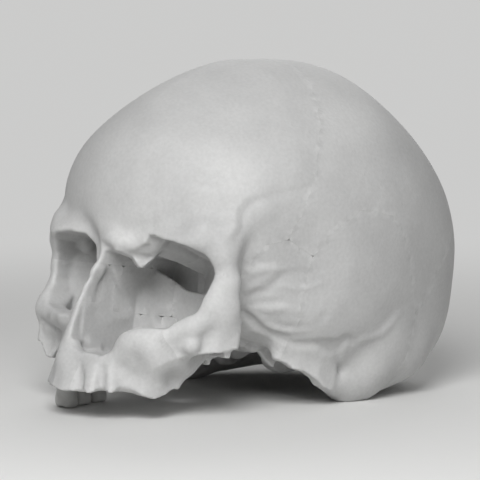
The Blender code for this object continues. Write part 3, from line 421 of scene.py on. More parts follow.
# The broken opening of the left orbit and the nose in front view, the nose's passage, and the whole right orbit
leftOpening = {
    "outline": ((0.233, 0.258), (0.26, 0.285), (0.30, 0.287), (0.37, 0.277), (0.452, 0.273), (0.548, 0.259),
                (0.603, 0.24), (0.637, 0.219), (0.651, 0.195), (0.658, 0.154), (0.658, 0.127), (0.644, 0.097),
                (0.63, 0.069), (0.603, 0.031), (0.562, 0.011), (0.521, -0.011), (0.493, -0.028), (0.411, -0.035),
                (0.356, -0.04), (0.301, -0.052), (0.247, -0.071), (0.219, -0.092), (0.192, -0.117),
                (0.164, -0.145), (0.137, -0.156), (0.11, -0.149), (0.068, -0.145), (0.041, -0.122),
                (0.014, -0.107), (-0.04, -0.105), (-0.082, -0.105), (-0.118, -0.06), (-0.123, -0.02),
                (-0.118, 0.017), (-0.108, 0.061), (-0.092, 0.099), (-0.068, 0.142), (-0.055, 0.184),
                (-0.041, 0.211), (0.0, 0.222), (0.06, 0.224), (0.15, 0.238)),
    "slope": 0.30, "flare": 0,
}
nosePassage = {
    "outline": ((-0.118, -0.105), (0.20, -0.10), (0.20, 0.15), (0.17, 0.20), (0.12, 0.222), (0.06, 0.222),
                (0.0, 0.22), (-0.041, 0.209), (-0.055, 0.184), (-0.068, 0.142), (-0.092, 0.099), (-0.108, 0.061),
                (-0.118, 0.017)),
    "slope": 0, "flare": 0,
}
rightOpening = {
    "outline": ((-0.67, 0.15), (-0.655, 0.20), (-0.60, 0.245), (-0.52, 0.27), (-0.40, 0.278), (-0.30, 0.268),
                (-0.225, 0.23), (-0.18, 0.17), (-0.17, 0.10), (-0.19, 0.04), (-0.25, -0.005), (-0.40, -0.01),
                (-0.50, -0.01), (-0.59, 0.005), (-0.65, 0.05), (-0.675, 0.10)),
    "slope": 0.08, "flare": 0.3,
}


def backOf(x):
    # the depth at each place across: place - slant * (|x| - side), with |x| - side never below nothing
    beside = np.maximum(np.abs(x) - orbitBack["side"] * headSizes[0], 0)
    return orbitBack["place"] * headSizes[1] - orbitBack["slant"] * beside


def backWall():
    # half the wall's thickness less the distance to the slanting back, between its sides and its edges
    half = orbitBack["wall"] / 2
    spans = (np.array(orbitBack["span"]) * headSizes[0], np.array(orbitBack["edge"]) * headSizes[2])

    def distance(x, y, z):
        sheet = np.abs(y - backOf(x) - half) / math.hypot(1, orbitBack["slant"]) - half
        for axis, (start, end) in zip((np.abs(x), z), spans):
            sheet = np.maximum(sheet, np.maximum(start - axis, axis - end))
        return sheet
    reach = spans[0][1]
    low = np.array((-reach, backOf(reach), spans[1][0]))
    return distance, low, np.array((reach, (orbitBack["place"] + orbitBack["spare"]) * headSizes[1], spans[1][1]))


def swell(shape, amount):
    # the same shape grown outwards by an amount
    distance, low, high = shape
    return (lambda x, y, z: distance(x, y, z) - amount), low - amount, high + amount


def prismHole(hole):
    # an outline in front view, its distance growing by the slope behind one plane and shrinking by the flare
    # before another, between the front and the slanting back
    outline = np.array(hole["outline"]) * headSizes[[0, 2]]
    front, flareEnd, flareFrom, start = (opening[name] * headSizes[1] for name in opening)
    flare = hole["flare"]

    def distance(x, y, z):
        flat = outlineDistance(outline, x, z) - flare * np.maximum(flareFrom - y, 0)
        return np.maximum(flat + hole["slope"] * np.maximum(y - start, 0), np.maximum(front - y, y - backOf(x)))
    spare = flare * (flareFrom - flareEnd)
    low, high = outline.min(0) - spare, outline.max(0) + spare
    return distance, np.array((low[0], front, low[1])), np.array((high[0], backOf(0), high[1]))


def measured(path):
    # lengths of a path's legs, and how far along it each of its points is
    legs = np.linalg.norm(np.diff(path, axis=0), axis=1)
    return legs, np.concatenate(([0], np.cumsum(legs)))


def standingSheet(sheet):
    # distance in plan to a path less half the thickness, between heights given along the path's length
    path = np.array(sheet["path"]) * headSizes[:2]
    legs, stops = measured(path)
    run, tops, feet = (np.array(column) for column in zip(*sheet["edge"]))
    half, tall = sheet["thickness"] / 2, headSizes[2]
    lean, level = sheet.get("lean", 0), sheet.get("level", 0) * tall

    def distance(x, y, z):
        y = y - lean * (z - level)
        nearest = np.full(np.broadcast_shapes(x.shape, y.shape), np.inf)
        along = np.zeros(nearest.shape)
        for start, end, stop, leg in zip(path, path[1:], stops, legs):
            share, off = alongLeg((x, y), start, end)
            away = np.hypot(*off)
            along = np.where(away < nearest, stop + share * leg, along)
            nearest = np.minimum(nearest, away)
        top, foot = (np.interp(along / stops[-1], run, heights) * tall for heights in (tops, feet))
        return np.maximum(nearest - half, np.maximum(z - top, foot - z))
    low, high = feet.min() * tall, tops.max() * tall
    slack = half + abs(lean) * max(abs(level - low), abs(high - level))
    return distance, np.array((*path.min(0) - slack, low)), np.array((*path.max(0) + slack, high))


# Sheets: a path in plan, and along its length from 0 to 1 an upper and a lower edge
# The sheet of bone seen through the opening: the right wall of the nose, turning across the back
innerSheet = {
    "path": ((-0.137, -0.972), (-0.132, -0.66), (-0.06, -0.585), (0.08, -0.51), (0.25, -0.48), (0.32, -0.50)),
    "edge": ((0, 0.10, -0.16), (0.05, 0.19, -0.16), (0.205, 0.23, -0.16), (0.275, 0.20, -0.16), (0.33, 0.14, -0.16),
             (0.433, 0.085, -0.16), (0.504, 0.127, -0.16), (0.568, 0.165, -0.16), (0.666, 0.136, -0.16),
             (0.763, 0.102, -0.16), (0.92, 0.093, -0.16), (1, 0.093, -0.16)),
    "thickness": 0.0026,
}
# The wall that holds the tooth roots: outer arch in plan, with its upper and lower edge along it
rootWall = {
    "path": ((-0.40, -0.56), (-0.395, -0.72), (-0.36, -0.86), (-0.27, -0.985), (-0.14, -1.05), (0, -1.055),
             (0.15, -1.05), (0.26, -1.0), (0.34, -0.92), (0.375, -0.82), (0.38, -0.77)),
    "edge": ((0.0, -0.14, -0.27), (0.1, -0.14, -0.29), (0.25, -0.14, -0.285), (0.40, -0.15, -0.275),
             (0.50, -0.15, -0.285), (0.62, -0.15, -0.29), (0.72, -0.15, -0.275), (0.82, -0.15, -0.275),
             (0.92, -0.14, -0.285), (1.0, -0.14, -0.25)),
    "thickness": 0.0072, "lean": 0.35, "level": -0.24,
}
# The broken edge that hangs between the nose and the left orbit
spurRoot = ((0.0, -0.91, 0.265, 0.8), (0.08, -0.88, 0.26, 0.85), (0.16, -0.82, 0.265, 0.85), (0.24, -0.82, 0.29, 0.7))
spurPlate = {
    "path": ((0.06, -0.925), (0.137, -0.815), (0.20, -0.775)),
    "edge": ((0.0, 0.26, 0.220), (0.30, 0.26, 0.200), (0.52, 0.27, 0.163), (0.64, 0.27, 0.175), (0.85, 0.28, 0.205),
             (1.0, 0.28, 0.245)),
    "thickness": 0.0045,
}
# The flat cheeks
cheekPlates = [{
    "path": ((0.69, -0.67), (0.665, -0.745), (0.60, -0.815), (0.48, -0.89)),
    "edge": ((0.0, 0.02, -0.085), (0.35, 0.02, -0.11), (0.6, -0.01, -0.125), (0.8, -0.03, -0.14),
             (1.0, -0.05, -0.15)),
    "thickness": 0.0070,
}, {
    "path": ((-0.67, -0.80), (-0.50, -0.79)),
    "edge": ((0.0, -0.02, -0.14), (0.3, -0.02, -0.19), (0.55, -0.02, -0.20), (0.85, -0.02, -0.16),
             (1.0, -0.02, -0.13)),
    "thickness": 0.0060,
}]
# Thin plates under the base: the wing behind the cheek, the broken edge in front of the mastoid, the temple's foot
baseSheets = ({
    "path": ((0.30, -0.50), (0.36, -0.30), (0.42, -0.12), (0.44, -0.05)),
    "edge": ((0, 0.05, -0.07), (0.44, 0.05, -0.082), (0.59, 0.05, -0.086), (0.69, 0.05, -0.127),
             (0.80, 0.05, -0.153), (0.87, 0.05, -0.093), (0.90, 0.05, -0.055), (1, 0.05, -0.04)),
    "thickness": 0.0030, "bend": "rim",
}, {
    "path": ((0.43, -0.08), (0.56, 0.06), (0.68, 0.14)),
    "edge": ((0, 0.05, -0.125), (0.045, 0.05, -0.131), (0.165, 0.05, -0.148), (0.345, 0.05, -0.157),
             (0.556, 0.05, -0.186), (0.681, 0.05, -0.220), (0.786, 0.05, -0.235), (1, 0.05, -0.24)),
    "thickness": 0.0060, "bend": "rim",
}, {
    "path": ((0.64, -0.29), (0.69, -0.22), (0.73, -0.12), (0.73, -0.03)),
    "edge": ((0, 0, -0.118), (0.10, 0, -0.127), (0.22, 0, -0.144), (0.42, 0, -0.148), (0.636, 0, -0.172),
             (0.805, 0, -0.200), (1, 0, -0.21)),
    "thickness": 0.0060, "bend": "bone",
})
# Relief: the width at the side in metres, and how many widths its reach is
relief = {"width": 0.0019, "reach": 3, "millimetre": 0.001}
# Relief that both sides share: rows of places with a depth in millimetres; ridges have a depth below nothing
sideRelief = (
    ((0.642, -0.555, 0.101, .6), (0.695, -0.535, 0.116, .8), (0.740, -0.508, 0.130, .9), (0.785, -0.485, 0.162, .9),
     (0.818, -0.457, 0.191, .8), (0.842, -0.405, 0.202, .6), (0.865, -0.345, 0.210, .5),
     (0.932, -0.247, 0.241, .1)),
    ((0.648, -0.528, 0.078, .4), (0.710, -0.502, 0.089, .5), (0.761, -0.466, 0.097, .6), (0.810, -0.414, 0.099, .5),
     (0.844, -0.360, 0.093, .4), (0.889, -0.276, 0.092, .1)),
    ((0.704, -0.615, 0.220, .3), (0.734, -0.589, 0.230, .5), (0.775, -0.542, 0.227, .2)),
    ((0.754, -0.493, 0.128, .2), (0.803, -0.441, 0.130, .5), (0.844, -0.378, 0.117, .5), (0.871, -0.319, 0.111, .4),
     (0.908, -0.254, 0.108, .1)),
    ((0.734, -0.535, 0.157, .3), (0.767, -0.512, 0.171, .4), (0.799, -0.489, 0.192, .1)),
    ((0.849, -0.378, 0.168, .2), (0.874, -0.321, 0.180, .5), (0.908, -0.271, 0.195, .4),
     (0.943, -0.226, 0.228, .1)),
    ((0.662, -0.479, 0.037, .2), (0.705, -0.431, 0.016, .6), (0.745, -0.381, 0.003, .7), (0.797, -0.331, 0.011, .6),
     (0.841, -0.274, 0.020, .2)),
    ((0.669, -0.407, -0.017, .3), (0.717, -0.365, -0.024, .6), (0.765, -0.310, -0.026, .6),
     (0.808, -0.266, -0.018, .2)),
    ((0.868, -0.246, 0.034, .2), (0.900, -0.224, 0.066, .5), (0.918, -0.220, 0.103, .2)),
    ((0.588, -0.525, 0.046, 1.0), (0.614, -0.489, 0.024, 1.4), (0.642, -0.425, -0.015, 1.6),
     (0.678, -0.386, -0.028, 1.6), (0.712, -0.350, -0.036, 1.5), (0.735, -0.300, -0.050, 1.3),
     (0.775, -0.255, -0.050, 1.2), (0.800, -0.207, -0.044, 1.2), (0.817, -0.174, -0.041, 2.2),
     (0.838, -0.124, -0.038, 2.6), (0.858, -0.058, -0.034, 1.8)),  # under the temple
    ((0.811, -0.138, -0.055, 1.4), (0.818, -0.094, -0.060, 2.2), (0.835, -0.061, -0.054, 1.4)),  # ear opening
    ((0.878, -0.066, -0.015, 1.2), (0.879, -0.030, -0.017, 1.6), (0.877, 0.008, -0.023, 1.0)),  # pit behind it
    ((0.817, -0.062, -0.071, .8), (0.760, 0.010, -0.120, .9), (0.715, 0.070, -0.176, .7)),  # front of the mastoid
    ((0.711, -0.576, 0.192, -.6), (0.751, -0.547, 0.209, -1.), (0.793, -0.504, 0.213, -.9),
     (0.816, -0.457, 0.210, -.3)),
    ((0.682, -0.555, 0.141, -.4), (0.731, -0.535, 0.166, -.6), (0.771, -0.506, 0.184, -.4)),
    ((0.668, -0.503, 0.071, -.4), (0.718, -0.464, 0.065, -.8), (0.776, -0.422, 0.077, -.8),
     (0.818, -0.362, 0.068, -.3)),
    ((0.818, -0.420, 0.151, -.3), (0.850, -0.353, 0.156, -.6), (0.884, -0.290, 0.175, -.5),
     (0.913, -0.253, 0.204, -.2)),
    ((0.642, -0.504, 0.056, -.4), (0.673, -0.460, 0.034, -.8), (0.706, -0.402, 0.002, -.8),
     (0.751, -0.344, -0.007, -.5)),
    ((0.878, 0.019, -0.018, -.5), (0.892, 0.089, -0.005, -.9), (0.911, 0.155, 0.015, -.8),
     (0.936, 0.198, 0.050, -.5), (0.945, 0.238, 0.091, -.2)),  # crest over the ear
)

# Relief of the face, one side only: a width in millimetres, then places as above
faceRelief = (
    (1.9, ((0.019, -1.078, -0.205, 1.4), (0.054, -1.092, -0.239, 2.6), (0.085, -1.115, -0.31, 3.4))),  # between roots
    (1.9, ((0.177, -1.062, -0.195, 1.4), (0.195, -1.069, -0.230, 2.6), (0.225, -1.085, -0.31, 3.4))),
    (3.0, ((0.285, -1.019, -0.198, 2.2), (0.306, -1.010, -0.228, 4.2), (0.317, -1.013, -0.263, 4.8),
     (0.345, -0.990, -0.30, 4.4))),  # lost root
    (2.5, ((0.328, -0.987, -0.212, 1.2), (0.349, -0.978, -0.245, 1.2))),
    (3.5, ((-0.076, -1.085, -0.225, -.8), (-0.063, -1.101, -0.261, -1.0), (-0.062, -1.103, -0.286, -.8))),
    (3.2, ((0.107, -1.075, -0.207, -.8), (0.141, -1.094, -0.248, -1.2), (0.160, -1.110, -0.285, -1.0))),
    (3.2, ((0.234, -1.041, -0.205, -.6), (0.248, -1.051, -0.240, -1.0), (0.257, -1.052, -0.275, -.8))),
    # molar block
    (5.0, ((0.455, -0.982, -0.126, -.8), (0.433, -0.942, -0.182, -1.5), (0.407, -0.891, -0.239, -1.5))),
    (3.5, ((0.537, -0.934, -0.119, .8), (0.513, -0.885, -0.176, 1.4), (0.438, -0.811, -0.220, 1.8))),
    (2.2, ((-0.119, -0.934, -0.117, -1.6), (-0.116, -0.876, -0.133, -1.6))),  # nasal spine
    (2.4, ((-0.112, -0.973, -0.137, 2.2), (-0.079, -0.971, -0.146, 1.4))),
    # under the orbit
    (6.0, ((0.536, -0.955, -0.071, 1.8), (0.574, -0.918, -0.088, 2.2), (0.600, -0.872, -0.106, 1.4))),
    (4.0, ((0.628, -0.859, 0.044, 1.0), (0.689, -0.851, 0.012, 1.6), (0.691, -0.819, -0.028, 1.4),
     (0.667, -0.811, -0.072, 1.0))),  # behind the rim
    (6.0, ((0.734, -0.785, 0.081, -.8), (0.746, -0.746, 0.027, -1.2), (0.737, -0.703, -0.021, -.8))),
    # over the nose
    (5.0, ((-0.076, -0.936, 0.280, -1.2), (0.034, -0.953, 0.262, -1.6), (0.103, -0.942, 0.258, -1.2))),
    (3.0, ((-0.090, -0.952, 0.213, .8), (-0.023, -0.942, 0.231, 1.0), (0.076, -0.939, 0.221, .8),
     (0.111, -0.902, 0.210, .6))),
    (4.0, ((0.104, -0.937, 0.302, .8), (0.202, -0.927, 0.313, 1.0), (0.269, -0.917, 0.324, .6))),
    (1.6, ((0.464, -0.854, 0.535, .3), (0.514, -0.830, 0.531, .4), (0.561, -0.813, 0.512, .35),
     (0.590, -0.788, 0.529, .45), (0.638, -0.760, 0.512, .3), (0.674, -0.725, 0.522, .1))),  # creases
    (1.6, ((0.467, -0.863, 0.498, .2), (0.532, -0.837, 0.488, .35), (0.599, -0.801, 0.486, .35),
     (0.658, -0.757, 0.484, .1))),
    (3.0, ((-0.113, -0.899, 0.088, .3), (-0.116, -0.816, 0.063, .5), (-0.113, -0.738, 0.053, .4),
     (-0.109, -0.664, 0.053, .2))),
    (3.0, ((-0.117, -0.904, -0.011, .2), (-0.117, -0.824, -0.029, -.4), (-0.115, -0.737, -0.017, -.5),
     (-0.106, -0.658, 0.009, -.2))),
    (3.0, ((-0.061, -0.608, 0.051, -.3), (0.007, -0.566, 0.034, -.5), (0.074, -0.529, 0.046, -.3))),
    (4.0, ((0.489, -0.783, -0.174, -.9), (0.437, -0.688, -0.181, -.9))),
    (5.0, ((-0.32, -0.915, 0.335, .6), (-0.235, -0.915, 0.285, 2.2), (-0.185, -0.925, 0.235, 3.0),
     (-0.165, -0.945, 0.185, 2.6), (-0.155, -0.965, 0.13, 1.4))),  # beside the nose
    (4.0, ((-0.608, -0.848, -0.071, .6), (-0.573, -0.827, -0.120, .8), (-0.537, -0.819, -0.170, .4))),
)
# The forehead stands proud of the temple and the vault behind: its outline in side view, and by how much at heights
forehead = {
    "outline": ((-0.80, 0.25), (-0.736, 0.338), (-0.718, 0.402), (-0.688, 0.441), (-0.658, 0.462), (-0.569, 0.499),
                (-0.45, 0.535), (-0.405, 0.56), (-0.379, 0.647), (-0.323, 0.759), (-0.243, 0.855), (-0.211, 0.929),
                (-0.182, 0.974), (-0.16, 1.10), (-1.3, 1.10), (-1.3, 0.25)),
    "rise": ((0.25, 0.0), (0.34, 0.0016), (0.46, 0.0016), (0.54, 0.0011), (0.70, 0.0010), (0.98, 0.0014)),
    "edge": ((0.45, 0.0035), (0.54, 0.007), (0.70, 0.012)), "side": (0.30, 0.62),
    "sideHeights": (0.40, 0.62),           # below these it fades towards the midline, above them it doesn't
}
# Flat places of the vault: a point, the direction that it faces, and how far under the point the skin is cut; below
# nothing is above the point. The reach is in metres
facetReach = 0.045
facets = (
    ((0.46, 0.565, 0.85), (0.469, 0.434, 0.769), -0.0004),
    ((0.46, -0.345, 0.87), (0.469, -0.434, 0.769), -0.0020),
)


def press(block, rows, width):
    # adds depth * exp(-(d / width)^2) to the field round a row of places, d being the distance to the row
    points = [np.array(row[:3]) * headSizes for row in rows]
    depths = [row[3] * relief["millimetre"] for row in rows]
    reach = relief["reach"] * width
    cut, place = windowOf(block["axes"], np.min(points, 0) - reach, np.max(points, 0) + reach)
    if block["value"][cut].size == 0:
        return
    total = 0
    for start, end, first, last in zip(points, points[1:], depths, depths[1:]):
        share, off = alongLeg(place, start, end)
        part = (first + (last - first) * share) * np.exp(-sum(side ** 2 for side in off) / width ** 2)
        total = np.where(np.abs(part) > np.abs(total), part, total)
    block["value"][cut] += total


def facetCut(place, facing, depth):
    # everything beyond a plane that lies a depth under a point of the skin
    normal = np.array(facing) / np.linalg.norm(facing)
    middle = np.array(place) * headSizes
    level = middle @ normal - depth

    def distance(x, y, z):
        return level - x * normal[0] - y * normal[1] - z * normal[2]
    return distance, middle - facetReach, middle + facetReach


def raiseForehead(block):
    # lowers the field by the rise inside the outline, fading over the edge's width and towards the midline
    x, y, z = block["axes"]
    outline = np.array(forehead["outline"]) * headSizes[1:]
    marks, edges = np.array(forehead["edge"]).T
    edge = np.interp(z, marks * headSizes[2], edges)[None, :]
    inside = np.clip(0.5 - outlineDistance(outline, y[:, None], z[None, :]) / edge, 0, 1)
    heights, rises = np.array(forehead["rise"]).T
    rise = inside * np.interp(z, heights * headSizes[2], rises)[None, :]
    start, end = np.array(forehead["side"]) * headSizes[0]
    low = np.interp(z, np.array(forehead["sideHeights"]) * headSizes[2], (1, 0))[None, None, :]
    across = np.clip((x - start) / (end - start), 0, 1)[:, None, None]
    block["value"] = block["value"] - rise[None] * (1 - low * (1 - across)).astype(np.float32)


def evenHalf():
    # the left half of what both sides share, and the brain's space inside it
    axes = airAxes()
    x, y, z = axes
    place = (np.sqrt(x ** 2 + bend["midline"] ** 2)[:, None, None], y[None, :, None], z[None, None, :])
    value = None
    for row in braincase:
        part = lump(*row)[0](*place)
        value = part if value is None else smoothMin(value, part, bend["soft"])
    block = {"axes": axes, "value": value}
    change(block, [lump(*row) for row in baseHollows], 2 * bend["bone"], carve=True)
    inside = {"axes": axes, "value": block["value"] + bone["wall"]}
    change(block, [lump(*row) for row in sharedPads], bend["bone"])
    change(block, [bars(rows, bend["bone"]) for rows in sharedBars], bend["bone"])
    change(block, [bars(pterygoidRows, bend["rim"], pterygoidSection)], bend["bone"])
    change(block, [facetCut(*facet) for facet in facets], 2 * bend["bone"], carve=True)
    temple, *hollows = [lump(*row) for row in hollowRows]
    change(block, [temple], bend["bone"], carve=True)
    change(block, hollows, bend["rim"], carve=True)
    change(inside, [lump(*row) for row in betweenOrbits], bend["bone"], carve=True)
    change(inside, [swell(hollow, -bone["wall"]) for hollow in hollows], bend["bone"], carve=True)
    raiseForehead(block)
    for sheet in baseSheets:
        change(block, [standingSheet(sheet)], bend[sheet["bend"]])
    for rows in sideRelief:
        press(block, rows, relief["width"])
    return block, inside


def bothSides(half):
    # mirrors a half block about the midline
    x, y, z = half["axes"]
    return {"axes": [np.concatenate((-x[:0:-1], x)), y, z],
            "value": np.concatenate((half["value"][:0:-1], half["value"]), 0)}


# The palate, the nasal cavity over it and the foramen magnum, as centre and radii
palate = ((0, -0.80, -0.17), (0.34, 0.25, 0.03))
nasalCavity = ((0, -0.80, -0.06), (0.15, 0.34, 0.10))
foramen = ((0, 0.22, -0.10), (0.20, 0.24, 0.22))


def wholeSkull():
    # the even half mirrored, the two sides of the face, the openings with their walls, the brain's space, the
    # relief, the dowels' bosses and bores, and the base's hole
    half, insideHalf = evenHalf()
    skull, inside = bothSides(half), bothSides(insideHalf)
    change(skull, [lump(*row) for row in leftPads + rightPads], bend["bone"])
    change(skull, [bars(rows, bend["bone"]) for rows in leftBars + rightBars], bend["bone"])
    change(skull, [standingSheet(rootWall)], bend["bone"])
    change(skull, [standingSheet(plate) for plate in cheekPlates], bend["bone"] / 2)
    change(skull, [lump(*palate)], bend["rim"])
    left, nose, right = (prismHole(hole) for hole in (leftOpening, nosePassage, rightOpening))
    change(skull, [left, nose, right], bend["rim"] / 2, carve=True)
    change(skull, [bars(spurRoot, bend["bone"]), backWall()], bend["rim"])
    change(inside, [swell(hole, bone["orbitWall"]) for hole in (left, right)], bend["rim"], carve=True)
    change(skull, [lump(*nasalCavity)], bend["rim"], carve=True)
    change(skull, [standingSheet(innerSheet)], bend["rim"] / 2)
    change(skull, [standingSheet(spurPlate)], bend["rim"])
    skull["value"] = -smoothMin(-skull["value"], inside["value"], bend["rim"])
    for width, rows in faceRelief:
        press(skull, rows, width * relief["millimetre"])
    bosses = [pinRod(node, pin["boss"], pin["length"], True) for node in pinNodes]
    bores = [pinRod(node, pin["bore"], pin["boreLength"], False) for node in pinNodes]
    change(skull, bosses, bend["rim"])
    change(skull, bores, bend["rim"] / 8, carve=True)
    change(skull, [lump(*foramen)] * 2, bend["rim"], carve=True)   # the second time rounds its edge a little more
    return skull


skull = wholeSkull()
print("bone field done", skull["value"].shape)

# Sutures: the gap that the saw leaves, and the length and depth of its zigzag, in metres. Their lines in side view
# are shares of half length and height, as the CAD solids have them; the last one is in front view
suture = {"gap": 0.00003, "pitch": 0.0050, "depth": 0.0012}
sutureLines = {
    "coronal": ((-0.02, 1.25), (-0.06, 0.98), (-0.19, 0.83), (-0.32, 0.66), (-0.41, 0.49), (-0.47, 0.32)),
    "sphenoparietal": ((-0.47, 0.32), (-0.33, 0.27)),
    "squamous": ((-0.33, 0.27), (-0.25, 0.38), (-0.10, 0.46), (0.08, 0.45), (0.22, 0.35), (0.31, 0.20),
                 (0.38, 0.10)),
    "lambdoid": ((0.38, 0.10), (0.48, 0.20), (0.60, 0.34), (0.76, 0.50), (0.92, 0.68), (1.15, 0.90)),
    "sphenofrontal": ((-0.47, 0.32), (-0.58, 0.29), (-0.62, 0.17)),
    "sphenotemporal": ((-0.33, 0.27), (-0.35, 0.10), (-0.31, -0.05), (-0.31, -0.50)),
    "occipitomastoid": ((0.38, 0.10), (0.36, -0.06), (0.33, -0.50)),
    "faceBack": ((-0.62, 0.17), (-0.60, 0.02), (-0.53, -0.05), (-0.53, -0.50)),
    "zygomaxillary": ((0.47, 0.17), (0.47, -0.01), (0.63, -0.25), (0.63, -0.50)),
}
# Where the straight cuts lie, and the blocks that the small bones are cut out of, as shares of the head's sizes
sawShares = {"front": -1.5, "back": 1.5, "top": 1.25, "side": 1.3, "base": -0.50, "faceTop": 0.17,
             "clivusSide": 0.30, "clivusTop": 0.12, "clivusFront": -0.21, "clivusBack": 0.50,
             "bridgeFront": -0.50}
sawBoxes = {
    "nasalBone": ((-0.165, -0.005), (-1.15, -0.88), (0.03, 0.17)),
    "ethmoid": ((-0.26, 0.05), (-0.80, -0.53), (0.0, 0.17)),
    "palatines": ((-0.27, 0.27), (-0.64, -0.53), (-0.50, 0.0)),
}


def zigzag(line):
    # evenly spaced points along a line, every second one set off to one side, its ends left in place
    points = np.array(line, float)
    legs, stops = measured(points)
    count = max(2, 2 * round(stops[-1] / suture["pitch"] / 2))
    run = np.linspace(0, stops[-1], count + 1)
    leg = np.clip(np.searchsorted(stops, run, side="right") - 1, 0, len(legs) - 1)
    ahead = np.diff(points, axis=0)[leg] / legs[leg][:, None]
    offset = suture["depth"] / 2 * (-1.0) ** np.arange(count + 1)
    offset[[0, -1]] = 0
    sideways = np.stack((-ahead[:, 1], ahead[:, 0]), 1)
    return points[leg] + ahead * (run - stops[leg])[:, None] + sideways * offset[:, None]


def sideOutlines():
    # the outline of each bone in side view, in metres
    size = headSizes[1:]
    line = {name: np.array(points) * size for name, points in sutureLines.items()}
    coronalTop, coronal = line["coronal"][:1], zigzag(line["coronal"][1:])
    squamous = zigzag(line["squamous"])
    lambdoid, lambdoidEnd = zigzag(line["lambdoid"][:-1]), line["lambdoid"][-1:]
    frontTop, frontFace, frontBase, backTop, backBase = (
        np.array([(sawShares[along], sawShares[up])]) * size
        for along, up in (("front", "top"), ("front", "faceTop"), ("front", "base"), ("back", "top"),
                          ("back", "base")))
    return {name: np.concatenate(parts) for name, parts in {
        "frontal": (frontTop, coronalTop, coronal, line["sphenofrontal"][1:], frontFace),
        "parietal": (coronalTop, coronal, line["sphenoparietal"][1:], squamous[1:], lambdoid[1:], lambdoidEnd,
                     backTop),
        "occipital": (lambdoidEnd, lambdoid[::-1], line["occipitomastoid"][1:], backBase),
        "temporal": (squamous, line["occipitomastoid"][1:], line["sphenotemporal"][:0:-1]),
        "sphenoid": (line["sphenoparietal"], line["sphenotemporal"][1:], line["faceBack"][::-1],
                     line["sphenofrontal"][-2:0:-1]),
        "face": (line["faceBack"], frontBase, frontFace),
    }.items()}


def boxDistance(spans, axes):
    # signed distance to a block between shares of the head's sizes: the greatest of low - place and place - high
    x, y, z = (np.maximum(low * size - axis, axis - high * size)
               for axis, (low, high), size in zip(axes, spans, headSizes))
    return np.maximum(np.maximum(x[:, None, None], y[None, :, None]), z[None, None, :])


def boneRegions(axes):
    # for each bone the distance field of the space that its saw cuts leave it
    x, y, z = axes
    side = {name: outlineDistance(outline, y[:, None], z[None, :])[None].astype(np.float32)
            for name, outline in sideOutlines().items()}
    baseSpan = (sawShares["base"], sawShares["clivusTop"])
    clivusSpan = (-sawShares["clivusSide"], sawShares["clivusSide"])
    clivus = boxDistance((clivusSpan, (sawShares["clivusFront"], sawShares["clivusBack"]), baseSpan), axes)
    bridge = boxDistance((clivusSpan, (sawShares["bridgeFront"], sawShares["clivusFront"]), baseSpan), axes)
    palatines, nasalBone, ethmoid = (
        boxDistance(sawBoxes[name], axes) for name in ("palatines", "nasalBone", "ethmoid"))
    notFace = np.minimum(np.minimum(palatines, nasalBone), ethmoid)
    regions = {
        "frontal": lambda: side["frontal"],
        "occipital": lambda: np.minimum(side["occipital"], clivus),
        "sphenoid": lambda: np.maximum(np.minimum(side["sphenoid"], bridge), -np.minimum(palatines, ethmoid)),
        "nasal_bone_right": lambda: nasalBone,
        "ethmoid": lambda: ethmoid,
    }
    front = np.array(sutureLines["zygomaxillary"]) * headSizes[[0, 2]]
    reach, base, top = np.array((sawShares["side"], sawShares["base"], sawShares["top"])) * headSizes[[0, 2, 2]]
    cheekLine = np.array(((front[0, 0], top), *front, (reach, base), (reach, top)))
    for sign, word in ((1, "left"), (-1, "right")):
        away = (-x * sign)[:, None, None]
        cheek = outlineDistance(cheekLine * (sign, 1), x[:, None], z[None, :])[:, None].astype(np.float32)
        regions["parietal_" + word] = lambda away=away: np.maximum(side["parietal"], away)
        regions["temporal_" + word] = lambda away=away: np.maximum(
            side["temporal"], away + sawShares["clivusSide"] * headSizes[0])
        regions["zygomatic_" + word] = lambda cheek=cheek: np.maximum(side["face"], cheek)
        regions["maxilla_" + word] = lambda away=away, cheek=cheek: np.maximum(
            np.maximum(side["face"], away), np.maximum(-cheek, -notFace))
        regions["palatine_" + word] = lambda away=away: np.maximum(palatines, away)
    return regions


# How the skins are made; lengths in cells
skin = {
    "margin": 3,                    # air kept round a bone
    "rounds": 8, "fill": 0.01,      # passes that fill weak corners, and how deep a filled cell is
    "crumb": 40,                    # bodies of no more points than this are left out
    "pulls": 2, "longest": 0.8,     # moves of each point, and the longest one
    "near": 1.1, "crossing": 0.05,  # how near both surfaces a point is pulled onto their line, unless they run alike
    "facing": 0.55, "depth": 0.6,   # how well and how closely a face follows the bone's surface to be shaded by it
    "tiny": 1e-12,                  # keeps lengths of nothing from dividing
}


def sample(values, places):
    # straight-line blend of the eight grid values round each place, places being in cells
    corner = np.clip(np.floor(places).astype(int), 0, np.array(values.shape) - 2)
    share = places - corner
    made = 0
    for step in np.ndindex(2, 2, 2):
        weight = np.prod(np.where(step, share, 1 - share), axis=1)
        made = made + weight * values[corner[:, 0] + step[0], corner[:, 1] + step[1], corner[:, 2] + step[2]]
    return made


def slopeOf(values, places):
    # gradient of a grid at places in cells, from samples half a cell either way
    return np.stack([sample(values, places + step) - sample(values, places - step)
                     for step in np.eye(3) * 0.5], 1)


